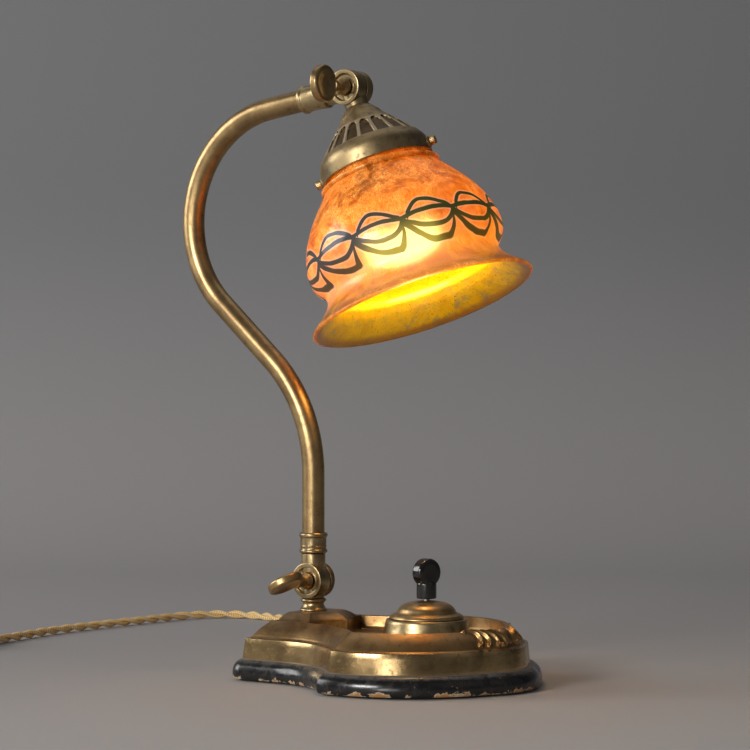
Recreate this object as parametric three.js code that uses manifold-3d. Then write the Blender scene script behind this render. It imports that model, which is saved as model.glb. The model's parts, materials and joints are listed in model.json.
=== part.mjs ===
// Desk lamp: a shaped brass base on a black wooden plinth, a friction joint at each end of an
// S-curved brass arm, and a tilting head with a bell-shaped glass shade.
//
// Millimetres, +Z up. The origin is on the resting surface, under the axis of the post.
// +X runs along the base's line of symmetry towards the switch; the thumb screws are on the -Y side.

import * as THREE from 'three';
import { mergeVertices } from 'three/addons/utils/BufferGeometryUtils.js';
import Module from 'manifold-3d';

const wasm = await Module();
wasm.setup();

// ---------------------------------------------------------------- driving dimensions

const GAP = 0.3; // clearance between neighbouring pieces
const RAD = Math.PI / 180;

// Base outline, at the outer face of the brass fascia
const LOBE = { left: -25, halfWidth: 49, flareStart: 5, flareRadius: 82 };
const BOWL = { centreX: 79.6, radius: 82.5 };
const NOSE = { centreX: 119.5, radius: 47 };

// Heights of the base
const FELT_TOP = 1.2;
const PLINTH_TOP = 15;
const FASCIA_TOP = 28.9;
const RIM_TOP = 40.5;
const TRAY_FLOOR = 30.5;
const WALL = 2;
const RIM_INSET = 14.4;
const TRAY_INSET = 16;
const MOUND = { left: -9.3, halfWidth: 29, shoulder: 17, waist: 20, tip: 28, top: 45.5 };

const SWITCH_X = 94;
const KEY_ANGLE = -18; // direction that the key's flat faces look along, from +X
const SCREW_SPOTS = [[-14, 34], [-14, -34], [108, 48], [108, -48]];

// Joints and arm
const LOWER_PIVOT_Z = 66.7;
const LOWER_JOINT = { radius: 12.3, near: 8.85, seam: 3.8, far: 8.85, neckRadius: 8.4, neckEnd: 18.6 };
const UPPER_JOINT = { radius: 12.4, near: 9.35, seam: 1.8, far: 9.35, neckRadius: 8.3, neckEnd: 19.2 };
const WASHER = 0.8; // thickness of the friction washer in a joint's seam
const TUBE_RADIUS = 7.8;
const TUBE_WALL = 1.2;
const ARM = { lowRun: 40.6, lowRadius: 108, lean: 47.8, midRun: 60.2, topRadius: 79.2, rise: 8.3, topRun: 71 };
const ARM_START_Z = 100;
const HEAD_TILT = 21.5; // forward lean of the head's axis from straight down
const GALLERY_SCREW_ANGLE = 19; // of the first shade screw about the head's axis, from forwards

// Free cord: a twisted pair that lies on the table, with the spare length coiled
const CORD_RADIUS = 3.5;
const CORD_EXIT = { x: -5, z: 22 };
const CORD_ROUTE = [
  [-5, 79.6, 22], [-5.8, 96, 19.6], [-10, 116, 13.2], [-18, 136, 7.2], [-31, 155, 4.2], [-50, 174, 3.6],
  [-80, 196, 3.6], [-115, 220, 3.6], [-150, 243, 3.6], [-184, 264, 3.6], [-215, 280, 3.6],
  [-250, 293, 3.6], [-282, 298, 3.6], [-308, 287, 3.6], [-322, 262, 3.6], [-326, 234, 3.6],
  [-329, 200, 3.6], [-333, 160, 3.6], [-334, 118, 3.6], [-330, 78, 3.6], [-324, 40, 3.6],
  [-321.5, 23, 3.6],
];
const COIL = { x: -355, y: -14, inner: 31.4, outer: 45.6, height: 14 };
const TAIL_ROUTE = [[-379.5, -56.4, 10.8], [-385, -56.7, 12], [-390, -57, 12.9], [-394.8, -57, 13]];
const PLUG = { x: -395.3, y: -57, z: 13, radius: 13 };

// ---------------------------------------------------------------- materials

const finish = (color, roughness, metalness) => new THREE.MeshStandardMaterial({ color, roughness, metalness });

const BRASS = finish(0xa8874a, 0.38, 1);
const OLD_BRASS = finish(0x7d6238, 0.5, 1);
const STEEL = finish(0x8b8d90, 0.35, 1);
const BLACK_LACQUER = finish(0x14120f, 0.3, 0);
const BAKELITE = finish(0x0f0d0c, 0.18, 0);
const FELT = finish(0x2a2620, 0.95, 0);
const PORCELAIN = finish(0xe6e0d2, 0.3, 0);
const FIBRE = finish(0x5a3a22, 0.8, 0);
const RUBBER = finish(0x6b5a35, 0.8, 0);
const SILK = finish(0xd2a04a, 0.7, 0);
const FROSTED = finish(0xfff0c8, 0.4, 0);
const ART_GLASS = new THREE.MeshStandardMaterial({
  color: 0xd97a2a,
  roughness: 0.15,
  metalness: 0.2,
  transparent: true,
  opacity: 0.9,
});

// ---------------------------------------------------------------- shape helpers

// A lathed solid about +Z from [radius, z] pairs that start and end on the axis or close on themselves.
function lathe(profile, segments) {
  const points = profile.map(([r, z]) => new THREE.Vector2(r, z));
  return new THREE.LatheGeometry(points, segments).rotateX(Math.PI / 2);
}

// A closed ring profile: up the outside, down the inside and back to the first point.
function ringLathe(profile, segments) {
  return lathe([...profile, profile[0]], segments);
}

// A round bar along +Z between two heights.
function rod(radius, z0, z1, segments) {
  return lathe([[0, z0], [radius, z0], [radius, z1], [0, z1]], segments);
}

// A tube section between two heights with a through bore.
function sleeve(outer, bore, z0, z1, segments) {
  return ringLathe([[bore, z0], [outer, z0], [outer, z1], [bore, z1]], segments);
}

// An upright prism over a closed outline of [x, y] pairs.
function prism(outline, z0, z1) {
  const shape = new THREE.Shape(outline.map(([x, y]) => new THREE.Vector2(x, y)));
  return new THREE.ExtrudeGeometry(shape, { depth: z1 - z0, bevelEnabled: false }).translate(0, 0, z0);
}

// A solid skinned over closed outlines with equal point counts, each at its own height.
function loft(levels) {
  const count = levels[0].outline.length;
  const positions = levels.flatMap(({ outline, z }) => outline.flatMap(([x, y]) => [x, y, z]));
  const index = [];
  for (let level = 0; level < levels.length - 1; level += 1) {
    for (let i = 0; i < count; i += 1) {
      const a = level * count + i;
      const b = level * count + ((i + 1) % count);
      index.push(a, b, b + count, a, b + count, a + count);
    }
  }
  const cap = ({ outline }) => THREE.ShapeUtils.triangulateShape(
    outline.map(([x, y]) => new THREE.Vector2(x, y)),
    [],
  );
  const last = (levels.length - 1) * count;
  for (const [a, b, c] of cap(levels[0])) {
    index.push(a, c, b);
  }
  for (const [a, b, c] of cap(levels[levels.length - 1])) {
    index.push(last + a, last + b, last + c);
  }
  const geometry = new THREE.BufferGeometry();
  geometry.setAttribute('position', new THREE.Float32BufferAttribute(positions, 3));
  geometry.setIndex(index);
  return geometry;
}

// A round section swept along a curve.
function sweep(curve, radius, sides, steps) {
  const section = new THREE.Shape();
  for (let i = 0; i < sides; i += 1) {
    const angle = (2 * Math.PI * i) / sides;
    const corner = [radius * Math.cos(angle), radius * Math.sin(angle)];
    if (i === 0) {
      section.moveTo(...corner);
    } else {
      section.lineTo(...corner);
    }
  }
  return new THREE.ExtrudeGeometry(section, { steps, extrudePath: curve });
}

function toSolid(geometry) {
  const bare = geometry.clone();
  bare.deleteAttribute('normal');
  bare.deleteAttribute('uv');
  const merged = mergeVertices(bare, 1e-4);
  const triangles = [];
  for (let i = 0; i < merged.index.count; i += 3) {
    const [a, b, c] = merged.index.array.slice(i, i + 3);
    if (a !== b && b !== c && c !== a) {
      triangles.push(a, b, c);
    }
  }
  return new wasm.Manifold(new wasm.Mesh({
    numProp: 3,
    vertProperties: new Float32Array(merged.attributes.position.array),
    triVerts: new Uint32Array(triangles),
  }));
}

function toGeometry(solid) {
  const mesh = solid.getMesh();
  const geometry = new THREE.BufferGeometry();
  geometry.setAttribute('position', new THREE.Float32BufferAttribute(mesh.vertProperties, 3));
  geometry.setIndex(new THREE.Uint32BufferAttribute(mesh.triVerts, 1));
  return geometry;
}

// Joins the geometries in `add`, then cuts away those in `cut`.
function combine(add, cut = []) {
  const joined = add.map(toSolid).reduce((all, piece) => all.add(piece));
  return toGeometry(cut.map(toSolid).reduce((all, piece) => all.subtract(piece), joined));
}

function place(parent, name, geometry, material) {
  const mesh = new THREE.Mesh(geometry, material);
  mesh.name = name;
  parent.add(mesh);
  return mesh;
}

// ---------------------------------------------------------------- base outline

// Points along an arc, both ends included. Angles are in radians.
function arc(centreX, centreY, radius, from, to, steps) {
  const points = [];
  for (let i = 0; i <= steps; i += 1) {
    const angle = from + ((to - from) * i) / steps;
    points.push([centreX + radius * Math.cos(angle), centreY + radius * Math.sin(angle)]);
  }
  return points;
}

// The fascia's outline, counter-clockwise, moved inwards by `inset` with sharp corners. Each side
// runs straight from the left end, flares out, meets the bowl's arc in a notch, and the nose closes it.
function baseOutline(inset) {
  const flareY = LOBE.halfWidth + LOBE.flareRadius;
  const flare = LOBE.flareRadius + inset;
  const bowl = BOWL.radius - inset;
  const across = new THREE.Vector2(BOWL.centreX - LOBE.flareStart, -flareY);
  const apart = across.length();
  const along = (apart ** 2 + flare ** 2 - bowl ** 2) / (2 * apart);
  const notchTurn = Math.acos(along / flare);
  const notchAngle = across.angle() - 2 * Math.PI + notchTurn;
  const flareArc = arc(LOBE.flareStart, flareY, flare, -Math.PI / 2, notchAngle, 8);
  const [notchX, notchY] = flareArc[flareArc.length - 1];
  const bowlStart = Math.atan2(notchY, notchX - BOWL.centreX);
  const nose = NOSE.radius - inset;
  const between = NOSE.centreX - BOWL.centreX;
  const bowlEnd = Math.acos((between ** 2 + bowl ** 2 - nose ** 2) / (2 * between * bowl));
  const bowlArc = arc(BOWL.centreX, 0, bowl, bowlStart, bowlEnd, 7);
  const noseStart = Math.asin((bowl * Math.sin(bowlEnd)) / nose);
  const noseArc = arc(NOSE.centreX, 0, nose, noseStart, 0, 3);
  const leftEnd = [LOBE.left + inset, LOBE.halfWidth - inset];
  const upper = [leftEnd, ...flareArc, ...bowlArc.slice(1), ...noseArc.slice(1, -1)];
  const tip = noseArc[noseArc.length - 1];
  return [...upper.map(([x, y]) => [x, -y]), tip, ...upper.reverse()];
}

// The right-hand flanks of the raised ground under the post, from -Y to +Y.
function moundFlanks(scale) {
  const { halfWidth, shoulder, waist, tip } = MOUND;
  const flanks = [
    [shoulder, -halfWidth], [waist, -halfWidth / 2], [tip, 0], [waist, halfWidth / 2], [shoulder, halfWidth],
  ];
  return flanks.map(([x, y]) => [x * scale, y * scale]);
}

// The whole outline of the raised ground, counter-clockwise, scaled about the post's axis.
function moundOutline(scale) {
  const left = MOUND.left * (0.4 + 0.6 * scale);
  const side = MOUND.halfWidth * scale;
  return [[left, -side], ...moundFlanks(scale), [left, side]];
}

// ---------------------------------------------------------------- base

function buildBase(lamp) {
  place(lamp, 'felt_pad', loft([
    { outline: baseOutline(-1.5), z: 0 },
    { outline: baseOutline(-1.5), z: FELT_TOP },
  ]), FELT);

  const screwHoles = SCREW_SPOTS.flatMap(([x, y]) => [
    rod(2.2, 0, 20, 12).translate(x, y, 0),
    rod(4.6, 0, 6, 12).translate(x, y, 0),
  ]);
  const plinthBottom = FELT_TOP + 0.05;
  place(lamp, 'wood_plinth', combine([loft([
    { outline: baseOutline(-7.4), z: plinthBottom },
    { outline: baseOutline(-8.2), z: 4 },
    { outline: baseOutline(-7.8), z: 8.5 },
    { outline: baseOutline(-5.6), z: 12.6 },
    { outline: baseOutline(-2.6), z: PLINTH_TOP },
  ])], screwHoles), BLACK_LACQUER);

  SCREW_SPOTS.forEach(([x, y], i) => {
    const screw = lathe([[0, 2], [4, 2], [4, 3.4], [1.5, 5.6], [1.5, 24], [0, 25]], 10);
    place(lamp, `plinth_screw_${i + 1}`, screw.translate(x, y, 0), STEEL);
  });

  const shellBottom = PLINTH_TOP + 0.05;
  const body = loft([
    { outline: baseOutline(0), z: shellBottom },
    { outline: baseOutline(0), z: FASCIA_TOP },
    { outline: baseOutline(3.9), z: FASCIA_TOP + 0.4 },
    { outline: baseOutline(5.2), z: 30.8 },
    { outline: baseOutline(9.2), z: 36.4 },
    { outline: baseOutline(RIM_INSET), z: RIM_TOP },
  ]);
  const mound = loft([
    { outline: moundOutline(1), z: RIM_TOP - 0.5 },
    { outline: moundOutline(0.66), z: MOUND.top },
  ]);
  const keep = [[-60, -70], [MOUND.shoulder, -70], ...moundFlanks(1), [MOUND.shoulder, 70], [-60, 70]];
  const tray = toGeometry(toSolid(prism(baseOutline(TRAY_INSET), TRAY_FLOOR, 60))
    .subtract(toSolid(prism(keep, 20, 70))));
  const cavity = combine([
    loft([
      { outline: baseOutline(WALL), z: 10 },
      { outline: baseOutline(WALL), z: FASCIA_TOP - WALL },
      { outline: baseOutline(6), z: TRAY_FLOOR - WALL },
    ]),
    rod(12, 20, 38.6, 20),
  ]);
  const bosses = SCREW_SPOTS.map(([x, y]) => rod(4.5, shellBottom, TRAY_FLOOR - 1, 12).translate(x, y, 0));
  const bores = SCREW_SPOTS.map(([x, y]) => rod(1.8, 0, 26, 12).translate(x, y, 0));
  const openings = [
    rod(5, 30, 60, 16),
    rod(6, 20, 40, 16).translate(SWITCH_X, 0, 0),
    rod(5.5, -60, -40, 16).rotateX(Math.PI / 2).translate(CORD_EXIT.x, 0, CORD_EXIT.z),
  ];
  const hollow = combine([body, mound], [tray, cavity]);
  place(lamp, 'base_shell', combine([hollow, ...bosses], [...bores, ...openings]), OLD_BRASS);
}

// ---------------------------------------------------------------- switch

function buildSwitch(lamp) {
  const group = new THREE.Group();
  group.position.set(SWITCH_X, 0, TRAY_FLOOR);
  lamp.add(group);
  place(group, 'switch_mechanism', combine(
    [rod(20.5, 0.3, 10, 20)],
    [rod(3.6, -1, 12, 12), rod(4, -1, 4, 12).translate(12, 0, 0), rod(4, -1, 4, 12).translate(-12, 0, 0)],
  ), PORCELAIN);
  place(group, 'switch_drum', ringLathe([
    [27, 0.1], [31.5, 0.1], [31.2, 2], [29.2, 5.5], [27.6, 13.6], [26.8, 14.4], [24.4, 14.4], [24.4, 12.6],
    [26, 12.6], [27, 5],
  ], 20), BRASS);
  place(group, 'switch_cover', ringLathe([
    [23.9, 10.4], [23.9, 14.7], [25.4, 14.7], [24.6, 17.2], [20.9, 18.2], [18, 22.8], [11, 25.8],
    [3.4, 26.6], [3.4, 25.2], [10.4, 24.4], [17, 21.4], [19.2, 18.4], [22.4, 16.4], [22.4, 10.4],
  ], 20), BRASS);
  place(group, 'switch_spindle', rod(2.2, 4, 31.5, 12), STEEL);
  const collar = rod(6.8, 28.1, 39, 20);
  const paddle = new THREE.CylinderGeometry(9.6, 9.6, 9, 20).rotateZ(Math.PI / 2).rotateZ(KEY_ANGLE * RAD);
  const key = combine([collar, paddle.translate(0, 0, 45.6)], [rod(2.5, 20, 31.8, 12)]);
  place(group, 'switch_key', key, BAKELITE);
}

// ---------------------------------------------------------------- friction joints

// Half with the clearance hole, on the screw's side. Its neck points along +Z.
function nearHalf(joint) {
  const cutY = joint.seam - WASHER / 2 - 0.2;
  const acrossY = (radius, y0, y1, sides) => rod(radius, -y1, -y0, sides).rotateX(Math.PI / 2);
  return combine(
    [acrossY(joint.radius, -joint.near, cutY, 24), rod(joint.neckRadius, 0, joint.neckEnd, 16)],
    [
      acrossY(joint.radius + 0.6, cutY, 30, 24),
      acrossY(3, -20, 20, 12),
      acrossY(9.4, -20, 1 - joint.near, 16),
      acrossY(20, -30, -joint.near, 16),
      rod(4, joint.neckEnd - 5, 40, 12),
    ],
  );
}

// Half with the tapped hole, on the far side. Its neck points along -Z.
function farHalf(joint, neckRadius, neckEnd) {
  const cutY = joint.seam + WASHER / 2 + 0.2;
  const acrossY = (radius, y0, y1, sides) => rod(radius, -y1, -y0, sides).rotateX(Math.PI / 2);
  return combine(
    [acrossY(joint.radius, cutY, joint.far, 24), rod(neckRadius, -neckEnd, 0, 16)],
    [
      acrossY(joint.radius + 0.6, -30, cutY, 24),
      acrossY(2.9, -20, 20, 12),
      acrossY(20, joint.far, 30, 16),
      rod(5, -40, -joint.radius, 12),
    ],
  );
}

function frictionWasher(joint) {
  const middle = joint.seam;
  return sleeve(joint.radius - 1.2, 3.2, middle - WASHER / 2, middle + WASHER / 2, 24).rotateX(-Math.PI / 2);
}

// Screw along -Y with a dished disc for a head; the disc's plane holds the screw's axis.
function thumbScrew(joint, discAngle) {
  const discRadius = 12.9;
  const discCentre = 24;
  const stem = lathe([
    [0, -joint.near - 7.4], [2.6, -joint.near - 7.4], [2.6, -0.7], [5.8, -0.7], [5.8, 1.4], [4.2, 2.6],
    [3.6, 6], [4.4, 10.5], [4.4, 13.5], [0, 14.5],
  ], 12);
  const disc = lathe([
    [0, -1.9], [9.4, -3.1], [11.8, -3.1], [discRadius, -2], [discRadius, 2], [11.8, 3.1], [9.4, 3.1], [0, 1.9],
  ], 20).rotateY(Math.PI / 2).translate(0, 0, discCentre);
  return combine([stem, disc]).rotateX(Math.PI / 2).translate(0, -joint.near, 0).rotateY(-discAngle * RAD);
}

// ---------------------------------------------------------------- post and arm

function buildPost(lamp) {
  place(lamp, 'post_nut', combine([rod(9, 33.2, 38.2, 6)], [rod(5, 30, 50, 12)]), BRASS);
  place(lamp, 'post_nipple', sleeve(4.7, 3, 31.5, 54, 16), BRASS);
  place(lamp, 'post_spool', ringLathe([
    [5, MOUND.top + 0.2], [9.6, MOUND.top + 0.2], [9.6, 46.6], [8.2, 47.8], [7.5, 49.6], [7.5, 51.2],
    [8.9, 52.2], [9.1, 53.2], [8.4, 54.1], [5, 54.1],
  ], 18), BRASS);
}

// Centre line of the arm, in the XZ plane, from the lower ferrule to the upper pivot.
function armCurve() {
  const path = new THREE.CurvePath();
  const at = (x, z) => new THREE.Vector3(x, 0, z);
  const run = (start, heading, length) => {
    const end = start.clone().add(at(Math.sin(heading), Math.cos(heading)).multiplyScalar(length));
    path.add(new THREE.LineCurve3(start, end));
    return end;
  };
  const bend = (start, from, to, radius) => {
    const side = Math.sign(to - from) * radius;
    const centre = start.clone().add(at(Math.cos(from), -Math.sin(from)).multiplyScalar(side));
    const steps = 14;
    let last = start;
    for (let i = 1; i <= steps; i += 1) {
      const heading = from + ((to - from) * i) / steps;
      const next = centre.clone().sub(at(Math.cos(heading), -Math.sin(heading)).multiplyScalar(side));
      path.add(new THREE.LineCurve3(last, next));
      last = next;
    }
    return last;
  };
  const lean = -ARM.lean * RAD;
  const rise = (90 - ARM.rise) * RAD;
  let end = run(at(0, ARM_START_Z), 0, ARM.lowRun);
  end = bend(end, 0, lean, ARM.lowRadius);
  end = run(end, lean, ARM.midRun);
  end = bend(end, lean, rise, ARM.topRadius);
  end = run(end, rise, ARM.topRun);
  return { path, pivot: end };
}

// Points along the arm between two distances from its start, for a smooth sweep.
function armStretch(path, from, to, count) {
  const whole = path.getLength();
  const points = [];
  for (let i = 0; i <= count; i += 1) {
    points.push(path.getPointAt((from + ((to - from) * i) / count) / whole));
  }
  return new THREE.CatmullRomCurve3(points);
}

function buildArm(lamp, path, pivot) {
  const lower = new THREE.Group();
  lower.position.z = LOWER_PIVOT_Z;
  lamp.add(lower);
  place(lower, 'lower_joint_base_half', farHalf(LOWER_JOINT, 7.6, LOWER_PIVOT_Z - 54.4), BRASS);
  place(lower, 'lower_joint_washer', frictionWasher(LOWER_JOINT), FIBRE);
  place(lower, 'lower_joint_arm_half', nearHalf(LOWER_JOINT), BRASS);
  place(lower, 'lower_thumb_screw', thumbScrew(LOWER_JOINT, -60), BRASS);

  const lowTop = ARM_START_Z - LOWER_PIVOT_Z;
  const ferrule = (start, end) => ringLathe([
    [4.4, start], [8.8, start], [9.8, start + 0.9], [9.8, start + 2.2], [9.2, start + 3], [9.2, end - 2.6],
    [9.9, end - 1.8], [9.9, end - 0.8], [9.2, end], [8.3, end], [8.3, start + 3], [4.4, start + 3],
  ], 16);
  place(lower, 'arm_lower_ferrule', ferrule(LOWER_JOINT.neckEnd + GAP, lowTop), BRASS);

  const upper = new THREE.Group();
  upper.position.copy(pivot);
  upper.rotation.y = -(90 + ARM.rise) * RAD;
  lamp.add(upper);
  place(upper, 'upper_joint_arm_half', nearHalf(UPPER_JOINT), BRASS);
  place(upper, 'arm_upper_ferrule', ferrule(UPPER_JOINT.neckEnd + GAP, 41), BRASS);

  const start = armStretch(path, 0, path.getLength() - 23.6, 44);
  const points = [new THREE.Vector3(0, 0, ARM_START_Z - 10.5), ...start.points];
  const curve = new THREE.CatmullRomCurve3(points);
  place(lamp, 'arm_tube', combine(
    [sweep(curve, TUBE_RADIUS, 12, 28)],
    [sweep(new THREE.CatmullRomCurve3([
      new THREE.Vector3(0, 0, ARM_START_Z - 12),
      ...start.points,
      pivot.clone(),
    ]), TUBE_RADIUS - TUBE_WALL, 8, 28)],
  ), BRASS);
  place(lamp, 'arm_lead', sweep(armStretch(path, 2, path.getLength() - 30, 30), 2.2, 6, 24), SILK);
}

// ---------------------------------------------------------------- head

// Pieces of the head, along -Z from the upper pivot.
function buildHead(lamp, pivot) {
  const head = new THREE.Group();
  head.position.copy(pivot);
  head.rotation.y = -HEAD_TILT * RAD;
  lamp.add(head);
  place(head, 'upper_joint_head_half', farHalf(UPPER_JOINT, 8.3, 15), BRASS);
  place(head, 'upper_joint_washer', frictionWasher(UPPER_JOINT), FIBRE);
  place(head, 'upper_thumb_screw', thumbScrew(UPPER_JOINT, -HEAD_TILT), BRASS);
  place(head, 'head_nipple', sleeve(4.7, 3, -29, -13, 16), BRASS);

  const screwZ = -56.4;
  const screwAngles = [0, 180].map((angle) => (angle + GALLERY_SCREW_ANGLE) * RAD);
  const radial = (geometry, angle) => geometry.rotateY(Math.PI / 2).rotateZ(angle).translate(0, 0, screwZ);
  const gallery = ringLathe([
    [38, -62], [39.4, -62], [39.4, -53.8], [38.3, -49.3], [32.3, -42.6], [31, -40], [24.3, -32.7],
    [18, -26.6], [14.5, -21.6], [12, -18.9], [9, -15.3], [5.2, -15.3], [5.2, -17.4], [10.5, -20],
    [13, -23], [16.6, -28], [22.8, -34], [29.6, -41.4], [31, -44], [36.8, -50.2], [38, -54],
  ], 24);
  place(head, 'shade_gallery', combine(
    [gallery, ...screwAngles.map((angle) => radial(rod(4, 38.2, 40.4, 12), angle))],
    screwAngles.map((angle) => radial(rod(1.9, 30, 50, 10), angle)),
  ), OLD_BRASS);
  screwAngles.forEach((angle, i) => {
    const screw = lathe([[0, 37.2], [1.5, 37.2], [1.5, 40.7], [3.1, 40.7], [3.1, 44.6], [0, 45.2]], 12);
    place(head, `shade_screw_${i + 1}`, radial(screw, angle), BRASS);
  });

  place(head, 'lamp_socket', ringLathe([
    [5.2, -26.8], [11, -26.8], [13.6, -29.6], [16.6, -33], [16.6, -58], [17.6, -58], [17.6, -61.5], [14.6, -61.5],
    [14.6, -35], [5.2, -30],
  ].reverse(), 20), BRASS);
  place(head, 'socket_insert', rod(14.1, -45, -36, 20), PORCELAIN);
  place(head, 'bulb_cap', lathe([[0, -45.6], [4.8, -45.6], [13, -49], [13, -71.5], [0, -71.5]].reverse(), 16), STEEL);
  place(head, 'bulb_glass', lathe([
    [0, -136], [9, -134.3], [16.5, -129.8], [21.8, -123], [24, -113], [22.6, -104], [18.6, -95], [15, -87],
    [13.6, -79], [13, -71.8], [0, -71.8],
  ], 16), FROSTED);
  place(head, 'glass_shade', ringLathe([
    [78, -160.6], [70.5, -154], [64.6, -148.1], [62, -143.2], [61.3, -140.3], [62, -137.4], [64.8, -134.5],
    [67, -131.6], [68.6, -127.5], [69, -122.5], [67.4, -111.9], [61.5, -97.2], [51.9, -82.7], [41.3, -70],
    [42.5, -67.6], [41.5, -66], [36.8, -64], [36.8, -51.8], [33.6, -51.8], [33.6, -64], [36.5, -68.5],
    [48.9, -84], [58.2, -98.2], [64, -112.2], [65.6, -122], [64.6, -128.4], [61.4, -133], [58.6, -138],
    [58.4, -142], [61, -148.6], [67.6, -156.2], [75, -162.4], [77.6, -162.4],
  ], 24), ART_GLASS);
}

// ---------------------------------------------------------------- wiring

function curveThrough(route) {
  return new THREE.CatmullRomCurve3(route.map((point) => new THREE.Vector3(...point)), false, 'centripetal');
}

function buildWiring(lamp) {
  const inRoute = [[-5, 41, 22], [-2, 30, 20.5], [10, 16, 19], [40, 6, 19], [70, 2, 19.5], [82, 0, 21]];
  const outRoute = [[91, -4, 24], [80, -12, 20], [50, -14, 19], [20, -10, 20], [5, -3, 23.5], [0, 0, 30.8]];
  place(lamp, 'inner_lead_in', sweep(curveThrough(inRoute), 2.2, 6, 14), SILK);
  place(lamp, 'inner_lead_out', sweep(curveThrough(outRoute), 2.2, 6, 14), SILK);

  const exit = new THREE.Group();
  exit.position.set(CORD_EXIT.x, LOBE.halfWidth, CORD_EXIT.z);
  exit.rotation.x = -Math.PI / 2;
  lamp.add(exit);
  place(exit, 'cord_bushing', ringLathe([
    [4.1, -4.5], [5.2, -4.5], [5.2, 0.1], [6.4, 0.1], [6.4, 1.4], [5.6, 2.4], [4.1, 2.4],
  ], 20), BRASS);
  place(exit, 'cord_relief', lathe([
    [0, -5.5], [3.8, -5.5], [3.8, 2.7], [5.8, 2.7], [5.7, 8], [5, 20], [4.3, 29.8], [0, 29.8],
  ], 16), RUBBER);

  place(lamp, 'cord_tube', sweep(curveThrough(CORD_ROUTE), CORD_RADIUS, 8, 46), SILK);
  const { inner, outer, height } = COIL;
  place(lamp, 'cord_coil', ringLathe([
    [inner + 2, 0], [outer - 2, 0], [outer, 2], [outer, height - 2], [outer - 2, height], [inner + 2, height],
    [inner, height - 2], [inner, 2],
  ], 28).translate(COIL.x, COIL.y, 0), SILK);
  place(lamp, 'cord_tail', sweep(curveThrough(TAIL_ROUTE), CORD_RADIUS, 8, 3), SILK);

  const plug = new THREE.Group();
  plug.position.set(PLUG.x, PLUG.y, PLUG.z);
  plug.rotation.y = -Math.PI / 2;
  lamp.add(plug);
  const pinSpots = [-9.5, 9.5];
  place(plug, 'plug_body', combine([lathe([
    [0, 0], [5, 0], [6, 6], [11, 14], [PLUG.radius, 20], [PLUG.radius, 38], [12, 40], [0, 40],
  ], 20)], pinSpots.map((y) => rod(2.7, 26, 50, 12).translate(0, y, 0))), BAKELITE);
  pinSpots.forEach((y, i) => {
    const pin = lathe([[0, 26.4], [2.4, 26.4], [2.4, 57.6], [1.4, 59], [0, 59]], 10);
    place(plug, `plug_pin_${i + 1}`, pin.translate(0, y, 0), BRASS);
  });
}

// ---------------------------------------------------------------- assembly

const lamp = new THREE.Group();
const { path, pivot } = armCurve();
buildBase(lamp);
buildSwitch(lamp);
buildPost(lamp);
buildArm(lamp, path, pivot);
buildHead(lamp, pivot);
buildWiring(lamp);

export default lamp;
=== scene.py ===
"""Looks of a brass desk lamp with a marbled art-glass shade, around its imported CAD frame.

Shapes are worked out in millimetres, in the frame of the CAD model, and written to meshes in metres.
"""
import json
import math
import random

import bmesh
import bpy
from mathutils import Matrix, Vector
from mathutils.geometry import tessellate_polygon


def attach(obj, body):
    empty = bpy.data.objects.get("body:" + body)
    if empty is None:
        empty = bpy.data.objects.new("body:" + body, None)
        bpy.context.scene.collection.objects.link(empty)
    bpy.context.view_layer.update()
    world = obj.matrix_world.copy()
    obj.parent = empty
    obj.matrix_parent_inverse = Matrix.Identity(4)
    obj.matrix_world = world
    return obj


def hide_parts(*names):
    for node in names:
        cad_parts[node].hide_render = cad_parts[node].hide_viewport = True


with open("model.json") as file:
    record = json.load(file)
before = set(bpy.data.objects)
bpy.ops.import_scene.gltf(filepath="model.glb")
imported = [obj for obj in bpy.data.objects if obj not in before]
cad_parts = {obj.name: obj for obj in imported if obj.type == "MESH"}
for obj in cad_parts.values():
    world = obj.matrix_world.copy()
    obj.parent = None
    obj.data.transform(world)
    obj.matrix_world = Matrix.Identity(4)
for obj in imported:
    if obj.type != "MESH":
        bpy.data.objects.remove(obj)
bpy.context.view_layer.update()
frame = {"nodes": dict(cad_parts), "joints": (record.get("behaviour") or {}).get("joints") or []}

MM = 0.001

# ---------------------------------------------------------------- driving dimensions, in millimetres

# The base's outline: a square lobe at the left, a hollow flare, the round bowl and the blunter nose
LOBE_LEFT, LOBE_HALF_WIDTH, CORNER_RADIUS = -25, 49, 3
FLARE_START, FLARE_RADIUS = 5, 82
BOWL_X, BOWL_RADIUS = 79.6, 82.5
NOSE_X, NOSE_RADIUS = 119.5, 47
# Heights of the brass shell, and how far the cove and the tray lie inside the outline
SHELL_BOTTOM, FASCIA_TOP, RIM_TOP, TRAY_FLOOR = 15.05, 28.9, 40.5, 30.5
COVE_FROM, TRAY_INSET, TRAY_START, FLANK_REACH = 4.5, 16, 17, 11
MOUND_LEFT, MOUND_HALF_WIDTH, MOUND_TOP = -9.3, 29, 45.62
SWITCH_X = 94
KEY_ANGLE = math.radians(-18)

JOINTS = {joint["name"]: joint for joint in frame["joints"]}
LOWER_PIVOT = Vector(JOINTS["arm_tilt"]["pos_m"]) / MM
UPPER_PIVOT = Vector(JOINTS["head_tilt"]["pos_m"]) / MM
HEAD_TILT, ARM_RISE = math.radians(21.5), math.radians(8.3)
ARM_START_Z = 100
ARM_RUNS = {"low": 40.6, "mid": 60.2, "top": 71.0}
ARM_BENDS = {"low": 108.0, "top": 79.2}
ARM_LEAN = math.radians(47.8)
TUBE_RADIUS = 7.8
LOWER_RADIUS, LOWER_FACE = 12.3, 8.85
UPPER_RADIUS, UPPER_FACE = 12.4, 9.35
LOWER_SCREW_TURN = math.radians(-60)

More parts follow.
